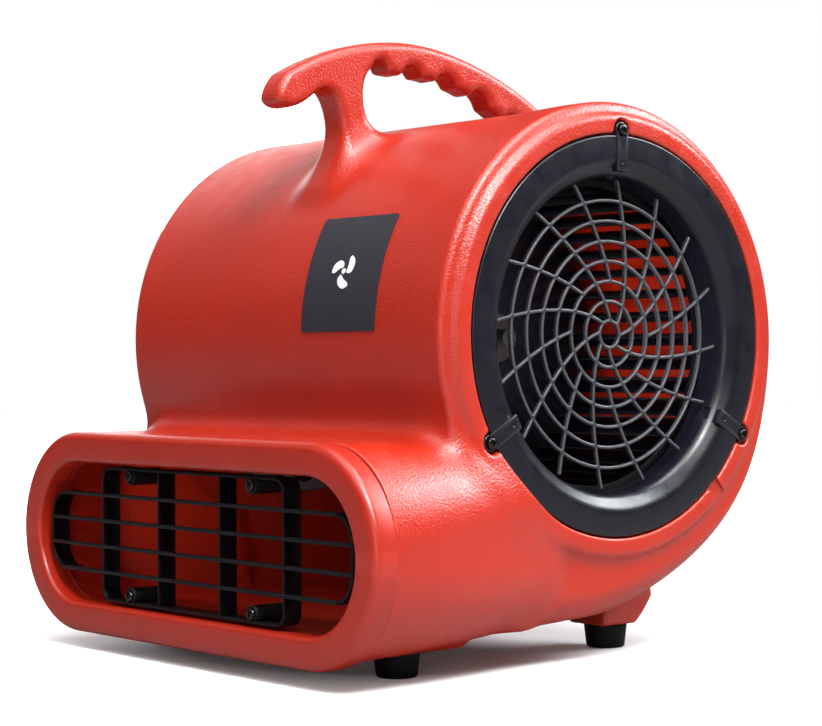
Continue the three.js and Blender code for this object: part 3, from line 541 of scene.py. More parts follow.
def moulded(name, colour, rough, grain_mm=1.6, grain_depth=0.25, variation=0.12, wear=0.25,
            pale=None, specular=0.5, coat=0.0, waviness=0.5):
    """Moulded plastic or rubber: cloudy colour, a pebbled grain, uneven gloss and paler edges."""
    n = Nodes(name)
    cloud = n.noise(60, 3)
    speck = n.noise(0.9, 2)
    low, high = rgb(colour, 1 - variation), rgb(colour, 1 + variation)
    tone = n.mix(n.spread(cloud, 0.3, 0.7, 0.0, 1.0), low, high)
    tone = n.mix(n.spread(speck, 0.4, 0.75, 0.0, 0.18), tone, rgb(colour, 1.45))
    tone = n.mix(n.math("MULTIPLY", n.edges(), wear), tone, rgb(pale or colour, 1.0 if pale else 1.6))
    streaks = n.noise(14, 5)
    pebble = n.spread(n.cells(grain_mm), 0.0, 0.9, 1.0, 0.0)
    ripple = n.math("MULTIPLY", n.noise(0.6 * grain_mm, 3), 0.6)
    grain = n.math("ADD", pebble, ripple)
    waves = n.bump(n.noise(45, 2), waviness, 0.35)
    return n.finish(Base_Color=tone, Roughness=n.spread(streaks, 0.3, 0.7, rough - 0.05, rough + 0.07),
                    Specular_IOR_Level=specular, Coat_Weight=coat, Coat_Roughness=0.25,
                    Normal=n.bump(grain, grain_depth, 1.0, waves))


def metal(name, colour, rough, brushed_along=None, scratches=0.05, wear=0.2):
    """Plated or machined metal with fine scratches, drawn out along one axis where it is brushed."""
    n = Nodes(name)
    stretch = {"x": (0.03, 1, 1), "y": (1, 0.03, 1), "z": (1, 1, 0.03)}.get(brushed_along, (1, 1, 1))
    drawn = n.add("ShaderNodeMapping", Vector=n.place, Scale=stretch).outputs["Vector"]
    lines = n.noise(0.8, 6, 0.7, drawn)
    stain = n.noise(9, 4)
    tone = n.mix(n.spread(stain, 0.35, 0.7, 0.0, 1.0), rgb(colour, 0.8), rgb(colour, 1.12))
    tone = n.mix(n.math("MULTIPLY", n.edges(), wear), tone, rgb(colour, 1.5))
    return n.finish(Base_Color=tone, Metallic=1.0, Normal=n.bump(lines, scratches, 0.6),
                    Roughness=n.spread(lines, 0.3, 0.7, rough - 0.08, rough + 0.12))


def label_finish():
    """Printed label film with a fine embossed weave."""
    n = Nodes("label_finish")
    turns = n.add("ShaderNodeSeparateXYZ", Vector=n.place).outputs
    across, up = (n.math("SINE", n.math("MULTIPLY", turns[axis], 2 * math.pi / 0.0022)) for axis in "XZ")
    weave = n.math("ADD", n.math("MULTIPLY", n.math("MULTIPLY", across, up), 0.5), n.noise(1.3, 4))
    cloud = n.noise(18, 3)
    dark, light = rgb((0.010, 0.009, 0.015)), rgb((0.026, 0.025, 0.034))
    tone = n.mix(n.spread(weave, 0.1, 0.9, 0.0, 1.0), dark, light)
    tone = n.mix(n.spread(cloud, 0.35, 0.7, 0.0, 0.5), tone, rgb((0.012, 0.011, 0.016)))
    return n.finish(Base_Color=tone, Roughness=n.spread(weave, 0.0, 1.0, 0.42, 0.62),
                    Normal=n.bump(weave, 0.12, 0.8))


def laminations():
    """Stacked sheets: fine dark lines across the fan axis on grey steel."""
    n = Nodes("laminations")
    along = n.add("ShaderNodeSeparateXYZ", Vector=n.place).outputs["X"]
    sheet = n.math("SINE", n.math("MULTIPLY", along, 2 * math.pi / 0.0012))
    tone = n.mix(n.spread(sheet, -1.0, 1.0, 0.0, 1.0), rgb((0.12, 0.12, 0.13)), rgb((0.33, 0.33, 0.35)))
    rust = n.spread(n.noise(7, 5), 0.55, 0.8, 0.0, 0.5)
    return n.finish(Base_Color=n.mix(rust, tone, rgb((0.22, 0.12, 0.07))), Metallic=1.0,
                    Roughness=n.spread(n.noise(3, 4), 0.3, 0.7, 0.35, 0.55),
                    Normal=n.bump(sheet, 0.1, 0.7))


def windings():
    """Varnished copper wire laid side by side round the winding head."""
    n = Nodes("windings")
    wires = n.add("ShaderNodeTexWave", {"wave_type": "RINGS", "rings_direction": "X"},
                  Vector=n.place, Scale=260.0, Distortion=3.0, Detail=2.0).outputs["Fac"]
    tone = n.mix(wires, rgb((0.16, 0.05, 0.02)), rgb((0.62, 0.25, 0.10)))
    return n.finish(Base_Color=n.mix(n.noise(6, 3), tone, rgb((0.34, 0.12, 0.05))), Metallic=0.8,
                    Roughness=n.spread(wires, 0.0, 1.0, 0.45, 0.25), Normal=n.bump(wires, 0.4, 0.9))


def floor_finish():
    """Pale seamless studio floor with a very faint tone and tooth, darker in reflections and in bounced light. It
    has a painted glow that only the camera sees: faint close to the machine and strong further out, so the floor
    reads white and the cast shadow fades away from the machine.
    """
    n = Nodes("floor_finish")
    pale = n.mix(n.noise(400, 2), rgb((0.92, 0.92, 0.92)), rgb((0.95, 0.95, 0.95)))
    path = n.add("ShaderNodeLightPath").outputs
    # Reflections and bounced light see a darker floor than the camera does, so less light comes back onto the
    # machine.
    bounce = n.mix(path["Is Diffuse Ray"], rgb((0.2, 0.2, 0.2)), rgb((0.5, 0.5, 0.5)))
    away = n.add("ShaderNodeVectorMath", {"operation": "LENGTH"}, Vector=n.place).outputs["Value"]
    # Painted light: a glow seen by camera rays only, weak within 0.15 m of the middle and strong beyond 0.42 m,
    # that whitens the floor and fades the cast shadow away from the machine.
    glow = n.math("MULTIPLY", n.spread(away, 0.15, 0.42, 0.03, 0.75), path["Is Camera Ray"])
    return n.finish(Base_Color=n.mix(path["Is Camera Ray"], bounce, pale),
                    Roughness=n.spread(n.noise(30, 3), 0.3, 0.7, 0.55, 0.65),
                    Specular_IOR_Level=0.1, Emission_Color=rgb((1, 1, 1)), Emission_Strength=glow,
                    Normal=n.bump(n.noise(2, 3), 0.05, 0.3))


RED = (0.35, 0.0125, 0.0020)
MATERIALS = {
    "red": (moulded("red_shell", RED, 0.34, 1.4, 0.2, 0.06, 0.35, (0.50, 0.045, 0.018), 0.62),
            "red_moulded_plastic"),
    "collar": (moulded("red_collar", (0.31, 0.0105, 0.0017), 0.34, 1.2, 0.04, 0.05, 0.3,
                       (0.45, 0.03, 0.015), 0.6), "collar_plastic"),
    "black": (moulded("black_gloss", (0.0034, 0.0034, 0.0070), 0.31, 1.0, 0.03, 0.2, 0.3,
                      (0.03, 0.03, 0.035), 0.42, 0.1, 0.06), "black_plastic"),
    "bars": (moulded("black_bars", (0.0014, 0.0012, 0.0022), 0.42, 1.0, 0.04, 0.2, 0.3,
                     (0.02, 0.02, 0.024), 0.18, 0.0, 0.1), "black_plastic"),
    "wheel": (moulded("black_wheel", (0.0008, 0.0008, 0.0016), 0.5, 1.0, 0.04, 0.2, 0.3,
                      (0.01, 0.01, 0.012), 0.2), "black_plastic"),
    "guard": (moulded("black_guard", (0.013, 0.013, 0.019), 0.40, 1.0, 0.05, 0.2, 0.4,
                      (0.12, 0.12, 0.13)), "guard_plastic"),
    "rubber": (moulded("foot_rubber", (0.0015, 0.0014, 0.0017), 0.6, 0.9, 0.05, 0.3, 0.4,
                       (0.02, 0.02, 0.02), 0.25), "foot_rubber"),
    "cord": (moulded("cord_sheath", (0.014, 0.014, 0.015), 0.5, 0.7, 0.08, 0.25, 0.3,
                     (0.05, 0.05, 0.05)), "cord_rubber"),
    "grey": (moulded("grey_plastic", (0.55, 0.55, 0.52), 0.45, 0.9, 0.04, 0.08, 0.2,
                     (0.8, 0.8, 0.78)), "light_grey_plastic"),
    "print": (moulded("label_print", (0.72, 0.72, 0.74), 0.5, 0.8, 0.02, 0.06, 0.1,
                      (0.85, 0.85, 0.85)), "label_film"),
    "label": (label_finish(), "label_film"),
    "screw": (metal("black_screw", (0.055, 0.055, 0.060), 0.24, None, 0.03), "black_screws"),
    "steel": (metal("bright_steel", (0.36, 0.37, 0.38), 0.30, "x"), "bright_steel"),
    "dial": (metal("dial_aluminium", (0.52, 0.53, 0.54), 0.34, "y"), "dial_aluminium"),
    "motor": (moulded("motor_paint", (0.045, 0.048, 0.055), 0.42, 1.3, 0.12, 0.15, 0.5,
                      (0.25, 0.25, 0.26)), "motor_paint"),
    "brass": (metal("pin_brass", (0.72, 0.50, 0.20), 0.25, "z"), "brass"),
    "lamination": (laminations(), "laminated_steel"),
    "copper": (windings(), "copper_winding"),
}


# ---- housing ----

def scroll_outline(y, height, top):
    """The drum round the fan axis joined with the scroll, which is cut off above at top."""
    drum = np.hypot(y, height) - BARREL_R
    lower = np.hypot(np.maximum(y - SCROLL_Y, 0), height + AXIS_Z - SCROLL_Z) - SCROLL_R
    return np.minimum(drum, np.maximum(np.maximum(lower, top), -70 - y))


def barrel_outline(x, y, z):
    """The scroll in side view: round over the top and opening out below the fan to the belly."""
    height = z - AXIS_Z
    turn = np.degrees(np.arctan2(height, y))
    swell = 1.6 + 5.0 * np.exp(-((turn + 46) / 24) ** 2) - 1.2 * np.exp(-((turn - 45) / 25) ** 2)
    tilt = math.radians(5)
    above = height * math.cos(tilt) + y * math.sin(tilt)
    return scroll_outline(y, height, above) - swell * ease(x, 92, 152)


def side_rounding(z):
    """The radius of the edge between the barrel and its ends: small at the top and wide below."""
    depth = np.clip((AXIS_Z - 60 - z) / 120, 0, 1)
    return 4.5 + 30 * depth ** 2


def way_back(y):
    """How far back y is in the nozzle: 0 at the collar and 1 at the end of the nozzle's taper."""
    return np.clip((y - COLLAR_BACK_Y) / 175, 0, 1)


def nozzle_sizes(y):
    """Half width, low edge, high edge and corner radius of the nozzle at y."""
    back = way_back(y)
    high = 144.3 - 30 * np.clip(back - 0.55, 0, 1) ** 1.5
    return 192 - 34 * back ** 1.9, 13.5 + 12.5 * back ** 1.2, high, 60 - 26 * back ** 1.1


def nozzle_section(x, z, half_width, low, high, corner):
    across = np.abs(x) - half_width + corner
    upright = np.abs(z - (low + high) / 2) - (high - low) / 2 + corner
    outside = np.hypot(np.maximum(across, 0), np.maximum(upright, 0))
    return outside + np.minimum(np.maximum(across, upright), 0) - corner


def air_passage(x, y, z):
    """The space inside the scroll and the nozzle."""
    height = z - AXIS_Z
    ends = np.maximum(LEFT_X + LEFT_WALL - x, x - (SIDE_X - WALL))
    scroll = rounded(scroll_outline(y, height, height) + WALL, ends, side_rounding(z))
    back = way_back(y)
    inner_low = MOUTH_Z - MOUTH_HALF[1] - back
    inner_high = MOUTH_Z + MOUTH_HALF[1] + 10 * np.minimum(back / 0.5, 1)
    nozzle = nozzle_section(x, z, MOUTH_HALF[0] - 24 * back, inner_low, inner_high, 46.8 - 20 * back)
    return blend_union(scroll, np.maximum(nozzle, y + 30), 8)


def bezier(points, steps):
    """Points on a Bezier curve of any order, without its first point."""
    t = np.arange(1, steps + 1)[:, None] / steps
    layer = [np.array(point, float) + 0 * t for point in points]
    while len(layer) > 1:
        layer = [(1 - t) * a + t * b for a, b in zip(layer, layer[1:])]
    return layer[0]


def handle_outline():
    """The handle in side view: a hook in front, a post, and a grip with finger hollows beneath."""
    cusps = [(68, 352), (40, 365.5), (9, 378.5), (-23, 384.5), (-53.7, 385), (-78, 388)]
    hollow = 13
    line = [np.array([(-108, 305)], float)]

    def curve(steps, *points):
        line.append(bezier([line[-1][-1], *points], steps))

    curve(8, (-97, 335), (-98, 350), (-103, 361))
    curve(4, (-106, 369), (-112, 370))
    curve(6, (-121, 370), (-124, 360), (-140, 356.5))
    curve(4, (-149, 355.5), (-152.5, 361))
    curve(5, (-153, 369), (-144, 379))
    curve(12, (-110, 398.5), (-75, 407), (-39, 407))
    curve(12, (10, 407), (80, 379), (101, 353))
    curve(6, (116, 332), (127, 274))
    curve(1, (98, 274))
    curve(8, (100, 325), (84, 350), cusps[0])
    start = np.array(cusps[0])
    for i, (here, there) in enumerate(zip(np.array(cusps), np.array(cusps[1:]))):
        if i:
            start = here + 0.2 * (there - here)
            curve(4, here, start)
        end = there - 0.2 * (there - here)
        curve(6, (start + end) / 2 + [0, hollow], end)
    curve(8, (-85, 378), (-84, 350), (-58, 325))
    return np.vstack(line)


HANDLE = handle_outline()
HANDLE_HALF = 12.0


def handle_field(x, y, z):
    return rounded(outline_distance(y, z, HANDLE), np.abs(x) - HANDLE_HALF, 6)


FOOT_NAMES = ("front_right", "front_left", "rear_right", "rear_left")
FEET = [node_middle("foot_" + name)[:2] for name in FOOT_NAMES]
FOOT_TOP_Z = node_box("foot_front_right")[1][2]


def plinth_field(x, y, z):
    """The feet's plinths: flat in front and running on behind the feet, rising at the rear."""
    result = np.full(x.shape, FAR)
    bottom = FOOT_TOP_Z + 0.3
    for foot_x, foot_y in FEET:
        behind = [(12, bottom), (19, 22), (28, 33), (25, 56)]
        if foot_y < 0:
            behind = [(38, bottom), (42, 20), (42, 44)]
        outline = [(-18, bottom), *behind, (-18, 44)]
        side = outline_distance(y - foot_y, z, np.array(outline, float))
        result = np.minimum(result, rounded(side, np.abs(x - foot_x) - 18, 3.5))
    return result


def housing_field(x, y, z):
    height = z - AXIS_Z
    radius = np.hypot(y, height)
    ends = np.abs(x - (LEFT_X + SIDE_X) / 2) - (SIDE_X - LEFT_X) / 2
    body = rounded(barrel_outline(x, y, z), ends, side_rounding(z))
    half_width, low, high, corner = nozzle_sizes(y)
    nozzle = nozzle_section(x, z, half_width, low, high, corner) + 9 * ease(y, -70, 15)
    nozzle = np.maximum(nozzle, y - 10)
    body = blend_union(body, nozzle, 1 + 25 * (1 - ease(y, -90, -30)))
    body = blend_common(body, low - z, 6)
    rim = rounded(radius - RIM_OUTER_R, x - RIM_X, 3)
    rim = np.maximum(rim, 120 - x)
    body = blend_union(body, rim, 9)
    handle_region = (np.abs(x) < 60) & (z > 262)
    body = blend_union(body, in_region(handle_region, handle_field, x, y, z), 25)
    body = blend_union(body, in_region(z < 75, plinth_field, x, y, z), 8)

    passage = np.maximum(air_passage(x, y, z), body + 3)
    body = blend_common(body, -passage, 1.5)
    body = rounded(body, COLLAR_BACK_Y + 0.3 - y, 0.9)
    seat = np.maximum(radius - RIM_INNER_R, SIDE_X + 0.3 - x)
    for angle in SCREW_ANGLES:
        eye_y, eye_z = around(SCREW_CIRCLE_R, angle)
        eye = np.maximum(np.hypot(y - eye_y, z - eye_z) - 6.9, SIDE_X + 0.3 - x)
        seat = blend_union(seat, eye, 2)
    slot_angle = math.radians(-49)
    along = y * math.cos(slot_angle) + height * math.sin(slot_angle)
    across = height * math.cos(slot_angle) - y * math.sin(slot_angle)
    slot = np.maximum(np.maximum(np.abs(across) - 5, RIM_X - 2.2 - x), np.abs(along - 134) - 7.5)
    body = blend_common(body, -seat, 2.2)
    body = blend_common(body, -slot, 1.2)
    body = blend_common(body, -np.maximum(radius - 119, 150 - x), 1.5)
    service = np.maximum(radius - RIM_INNER_R, x - (LEFT_X + SERVICE_RECESS))
    body = blend_common(body, -service, 1.8)
    return blend_common(body, -np.maximum(radius - 112, x + 150), 1.5)


def housing():
    cell, fine, seam = 2.1, 1.3, COLLAR_BACK_Y + 5
    x_axis = np.concatenate([span(-198, 148, cell), span(148, 174, fine)[1:], span(174, 198, cell)[1:]])
    y_axis = np.concatenate([span(COLLAR_BACK_Y - 2, seam, 0.8), span(seam, 153, cell)[1:]])
    z_axis = span(12, 411, cell)
    points, faces, normals = skin(housing_field, [x_axis, y_axis, z_axis])
    build("housing_shell", points, faces, "red", ["housing"], 0, normals=normals)


# ---- outlet ----

def stadium(half_width, half_height, corner, inset, steps):
    """Points round a rectangle with round corners about the outlet's centre, as (x, z)."""
    return round_corners(half_width, half_height, corner, corner - inset, steps) + [0, MOUTH_Z]


def hoop(outline, profile):
    """A closed band: profile is a loop of (inset, y) points carried round the outline."""
    rings = [[(x, y, z) for x, z in outline(inset)] for inset, y in profile]
    points = np.array(rings).reshape(-1, 3)
    return facing_out(points, grid_faces(len(rings), len(rings[0]), True, True))


def outlet_collar():
    back = COLLAR_BACK_Y - 0.3
    thickness = COLLAR_HALF[1] - MOUTH_HALF[1]
    corners = [(8, back, 0), (0.8, back, 0), (0, back - 1.2, 0.6), (0, MOUTH_Y, 5.5),
               (thickness, MOUTH_Y, 3.5), (thickness, back, 0), (8, back, 0)]
    profile = filleted(corners, 8)[:-1]

    def outline(inset):
        share = inset / thickness
        half_width = COLLAR_HALF[0] + (MOUTH_HALF[0] + thickness - COLLAR_HALF[0]) * share
        return stadium(half_width, COLLAR_HALF[1], COLLAR_HALF[1], inset, 24)

    build("collar_band", *hoop(outline, profile), "collar", ["outlet_collar"])


def grille_hoop(half_width, half_height, corner, slat, front, back):
    corners = [(slat / 2, front, 0), (slat, front, 0.5), (slat, back, 0.4), (0, back, 0.4),
               (0, front, 0.5), (slat / 2, front, 0)]
    profile = filleted(corners, 3)[:-1]
    return hoop(lambda inset: stadium(half_width, half_height, corner, inset, 8), profile)


GRILLE_SCREWS = [f"grille_screw_{i}" for i in (1, 2, 3, 4)]


def outlet_grille():
    front, back = GRILLE_LOW[1] + 0.4, GRILLE_LOW[1] + 13.4
    wide, tall = GRILLE_HIGH[0], (GRILLE_HIGH[2] - GRILLE_LOW[2]) / 2
    slat, half_bar = 1.9, 1.25
    parts = [grille_hoop(101, tall, 9, slat, front, back)]
    for x in (-34, 34):
        parts.append(soft_box((x - slat / 2, front, MOUTH_Z - tall + 0.6),
                              (x + slat / 2, back, MOUTH_Z + tall - 0.6), 0.5))
    for z in (-25.5, -8.5, 8.5, 25.5):
        reach = wide - 15.5 if abs(z) > 20 else wide - 0.7
        parts.append(soft_box((-reach, front - 0.4, MOUTH_Z + z - half_bar),
                              (reach, front + 4, MOUTH_Z + z + half_bar), 0.7, 3))
    seats = []
    for node in GRILLE_SCREWS:
        x, _, z = node_middle(node)
        boss = filleted([(0, front, 0), (5.6, front, 0.8), (5.6, back + 9.5, 0), (0, back + 9.5, 0)], 4)
        parts.append(turned([(r, -y) for r, y in boss], 32, (x, 0, z), "-y"))
        seats.append(cylinder(4.4, 3 - front, -1 - front, 32, (x, 0, z), "-y"))
    end_hoop = grille_hoop(wide, 26.75, 18, 2.2, front + 0.2, back)
    middle = soft_box((18 - wide, front - 2, MOUTH_Z - tall), (wide - 18, back + 2, MOUTH_Z + tall), 0.5)
    parts.append(merge("grille_ends", [end_hoop], [middle]))
    build("grille_bars", *merge("grille", parts, seats), "bars", ["outlet_grille"])


# ---- screws ----

def pan_head(node, way, material="screw"):
    """A pan-head screw with a cross recess, in the place of a CAD screw."""
    low, high = node_box(node)
    side, up, out = (np.array(axis, float) for axis in FRAMES[way])
    centre, extent = (low + high) / 2, (high - low) / 2
    head_r = max(abs(extent @ side), abs(extent @ up))
    head_height, recess = 0.7 * head_r, 0.35 * head_r
    middle, half_length = centre @ out, abs(extent @ out)
    seat, bottom = middle + half_length - head_height, middle - half_length
    turns = 2 * math.pi * np.arange(64) / 64
    rings, ring_count = [], 22
    for share in np.arange(1, ring_count + 1) / ring_count:
        dome = seat + head_height * (1 - 0.35 * share ** 2.6 - 0.65 * ease(share, 0.86, 1.0) ** 2)
        ring = []
        for t in turns:
            a, b = share * head_r * math.cos(t), share * head_r * math.sin(t)
            across = 1 - ease(min(abs(a), abs(b)), 0.10 * head_r, 0.17 * head_r)
            along = 1 - ease(max(abs(a), abs(b)), 0.5 * head_r, 0.62 * head_r)
            ring.append(a * side + b * up + (dome - recess * across * along) * out)
        rings.append(ring)
    for r, h in ((head_r, seat), (0.42 * head_r, seat), (0.42 * head_r, bottom)):
        rings.append([r * (math.cos(t) * side + math.sin(t) * up) + h * out for t in turns])
    points, faces = pointed(rings, (seat + recess) * out, bottom * out)
    build("fitted_" + node, points + centre - middle * out, faces, material, [node])


# ---- inlet ----

def inlet_ring():
    back, front = SIDE_X + 0.5, RIM_X
    corners = [(THROAT_R + 2, THROAT_END_X, 0), (THROAT_R, THROAT_END_X, 0.6), (THROAT_R, 155, 6),
               (101.2, 163.5, 9), (110, front, 10), (RING_R, front, 1.4), (RING_R, back, 0.3),
               (113, back, 6), (103.6, 160, 8), (THROAT_R + 2, 155, 4), (THROAT_R + 2, THROAT_END_X, 0)]
    parts = [turned(filleted(corners, 9)[:-1], 192)]
    cuts = []
    for angle in SCREW_ANGLES:
        at = (0, *around(SCREW_CIRCLE_R, angle))
        eye = filleted([(0, back, 0), (5.3, back, 0.3), (5.3, front - 0.4, 0.8), (0, front - 0.4, 0)], 4)
        parts.append(turned(eye, 40, at))
        parts.append(spoke_box(angle, 104, SCREW_CIRCLE_R - 1, 10, front - 7, front + 0.7, 0.8))
        cuts.append(cylinder(4.3, front - 0.9, front + 2, 40, at))
        cuts.append(spoke_box(angle, 98, 101.6, 9, 158, front + 1, 0.6))
        dimple = [(0, front - 0.2), (1.6, front + 1.2), (0, front + 2)]
        cuts.append(turned(dimple, 24, (0, *around(109.5, angle))))
    build("inlet_bell", *merge("bell", parts, cuts), "black", ["inlet_ring"], 28)


GUARD_RINGS = (8.6, 21, 33.7, 46.5, 59, 72, 85)
GUARD_SPOKES = 16
GUARD_SWEEP = 46
GUARD_START = -5.2
GUARD_HALF_RIB = 1.05


def guard_field(x, y, z):
    """A flat web of rings and of spokes that wind outwards at a steady slant."""
    y, height = y + 0.8, z - AXIS_Z - 1.2
    radius = np.hypot(y, height)
    ring = np.min([np.abs(radius - r) for r in GUARD_RINGS], axis=0) - GUARD_HALF_RIB
    lean = math.radians(GUARD_SWEEP) / math.log(THROAT_R / GUARD_RINGS[0])
    turn = lean * np.log(np.maximum(radius, 1) / GUARD_RINGS[0])
    angle = np.arctan2(height, y) - math.radians(GUARD_START) - turn
    steep = math.cos(math.atan(lean))

    def spokes(count, offset, start):
        pitch = 2 * math.pi / count
        off = np.abs((angle - offset + pitch / 2) % pitch - pitch / 2)
        side = off * radius * steep - GUARD_HALF_RIB
        return np.maximum(side, np.maximum(start - radius, radius - GUARD_R))

    pitch = 2 * math.pi / GUARD_SPOKES
    long_spokes = spokes(GUARD_SPOKES // 2, 0, GUARD_RINGS[0])
    short_spokes = spokes(GUARD_SPOKES // 2, pitch, GUARD_RINGS[2])
    web = blend_union(ring, np.minimum(long_spokes, short_spokes), 1.4)
    half_depth = 1.6
    return rounded(web, np.abs(x - GUARD_HIGH[0] + half_depth) - half_depth, 0.95)


def inlet_guard():
    cell, reach = 0.7, GUARD_R + 3
    axes = [span(GUARD_HIGH[0] - 4.2, GUARD_HIGH[0] + 1, 0.75), span(-reach, reach, cell),
            span(AXIS_Z - reach, AXIS_Z + reach, cell)]
    points, faces, normals = skin(guard_field, axes, 0.1)
    build("guard_web", points, faces, "guard", ["inlet_guard"], 0, normals=normals)


# ---- blower wheel ----

BLADE_COUNT = 42


def blower_wheel():
    back, front = WHEEL_LOW[0], WHEEL_HIGH[0]
    inner = WHEEL_R - 16
    plate = filleted([(17, back, 0), (WHEEL_R, back, 0.8), (WHEEL_R, back + 2.5, 0.8),
                      (17, back + 2.5, 0)], 3)
    rim = filleted([(inner + 8, front - 3, 0), (inner, front - 3, 0.8), (inner, front, 0.8),
                    (WHEEL_R, front, 0.8), (WHEEL_R, front - 3, 0.8), (inner + 8, front - 3, 0)], 3)[:-1]
    parts = [turned(plate, 168), turned(rim, 168)]
    shares = np.linspace(0, 1, 9)
    for blade in range(BLADE_COUNT):
        base = 360 * blade / BLADE_COUNT
        ring = []
        for side in (-1, 1):
            for share in (shares if side < 0 else shares[::-1]):
                r = inner + 0.6 + 14.8 * share
                turn = base + 6.6 * share - 9.2 * share ** 2
                thickness = 0.9 * (1 - 0.55 * (2 * share - 1) ** 4)
                ring.append(around(r, turn + side * math.degrees(thickness / r)))
        parts.append(swept([[(x, y, z) for y, z in ring] for x in np.linspace(back + 1, front - 1, 6)]))
    build("blower_wheel", *merge("wheel", parts), "wheel", ["impeller"], body="rotor")


# ---- label ----

def film(places, count, radii):
    """A thin closed plate on the barrel from count rows of (x, angle in degrees) places."""
    size = len(places)
    width = size // count
    points = [(x, *around(radius, angle)) for radius in radii for x, angle in places]
    faces = grid_faces(count, width)
    edge = (list(range(width)) + [i * width + width - 1 for i in range(1, count)]
            + [(count - 1) * width + i for i in reversed(range(width - 1))]
            + [i * width for i in reversed(range(1, count - 1))])
    sides = [(a, b, b + size, a + size) for a, b in zip(edge, edge[1:] + edge[:1])]
    top = [tuple(corner + size for corner in face) for face in faces]
    return facing_out(points, top + [face[::-1] for face in faces] + sides)


def label_plate():
    low_x, high_x = LABEL_LOW[0], LABEL_HIGH[0]
    low_angle = 180 - math.degrees(math.asin((LABEL_LOW[2] - AXIS_Z) / BARREL_R))
    high_angle = 180 - math.degrees(math.asin((LABEL_HIGH[2] - AXIS_Z) / (BARREL_R + 1)))
    corner = 2.2
    length = math.radians(low_angle - high_angle) * BARREL_R
    arc = [corner * (1 - math.cos(math.pi / 2 * i / 5)) for i in range(6)]
    places = arc + list(np.linspace(corner, length - corner, 34)[1:-1])
    places += [length - place for place in reversed(arc)]
    sheet = []
    for place in places:
        gap = min(place, length - place)
        inset = corner - math.sqrt(max(corner ** 2 - max(corner - gap, 0) ** 2, 0))
        angle = low_angle - math.degrees(place / BARREL_R)
        sheet += [(x, angle) for x in np.linspace(low_x + inset, high_x - inset, 13)]
    build("label_sheet", *film(sheet, len(places), (BARREL_R - 0.2, BARREL_R + 0.7)), "label",
          ["label_plate"], 40)
    label_symbol((low_x + high_x) / 2, (low_angle + high_angle) / 2)


def label_symbol(middle_x, middle_angle):
    """A plain fan symbol: a hub and three curved blades."""
    def patch(grid, rows):
        places = [(middle_x + r * math.cos(turn),
                   middle_angle - math.degrees(r * math.sin(turn) / BARREL_R)) for r, turn in grid]
        return film(places, rows, (BARREL_R + 0.6, BARREL_R + 0.9))

    parts = []
    for blade in range(3):
        grid = []
        for share in np.linspace(0, 1, 13):
            width = 1.178 * math.sin(math.pi * min(0.12 + 0.8 * share, 1.0)) ** 0.8
            middle = 2 * math.pi * blade / 3 + 0.9 * share
            grid += [(3.0 + 8.6 * share, middle + width * (j / 6 - 0.5)) for j in range(7)]
        parts.append(patch(grid, 13))
    hub = [(0.3 + 1.5 * i / 4, 2 * math.pi * j / 24) for i in range(5) for j in range(25)]
    parts.append(patch(hub, 5))
    build("label_symbol", *joined(parts), "print", (), 40)


# ---- service side ----

def service_cover():
    back, face, wall, dish = LEFT_X + 4.5, LEFT_X, 3, 40
    drum, lip, rim = 58, 72, RIM_INNER_R - 1
    corners = [(0, DIAL_X, 0), (dish, DIAL_X, 1.5), (dish, DRUM_END_X + 3, 2), (dish + 4, DRUM_END_X, 2),
               (lip, DRUM_END_X, 1.2), (lip, DRUM_END_X + 2.5, 1), (drum, DRUM_END_X + 2.5, 3),
               (drum, face, 3), (84, face, 0.6), (85, face + 1.2, 0.6), (114, face + 1.2, 0.6),
               (115, face, 0.6), (rim, face, 2), (rim, back, 0.4), (drum - wall, back, 1),
               (drum - wall, DRUM_END_X + 6, 2), (dish + wall, DRUM_END_X + 6, 2),
               (dish + wall, DIAL_X + wall, 1.5), (0, DIAL_X + wall, 0)]
    body = turned(filleted(corners, 4), 144)
    cuts = [cylinder(7, face - 2, back + 3, 32, (0, 0, GLAND_Z)), cylinder(5.6, DIAL_X - 2, DIAL_X + 5, 32)]
    for angle in range(0, 360, 6):
        near_screw = min(abs((angle - screw + 180) % 360 - 180) for screw in SCREW_ANGLES) < 4
        if abs(angle - 270) > 10 and not near_screw:
            cuts.append(spoke_box(angle, 88, 111, 4.2, face - 3, back + 3, 1.6))
    build("cover_shell", *merge("cover", [body], cuts), "black", ["service_cover"], 32)
    mesh_screen(back)


def mesh_screen(back):
    """A dark fine screen behind the vents of the cover."""
    profile = [(80, back + 0.4), (112, back + 0.4), (112, back + 0.9), (80, back + 0.9)]
    build("vent_screen", *turned(profile, 120), "rubber")


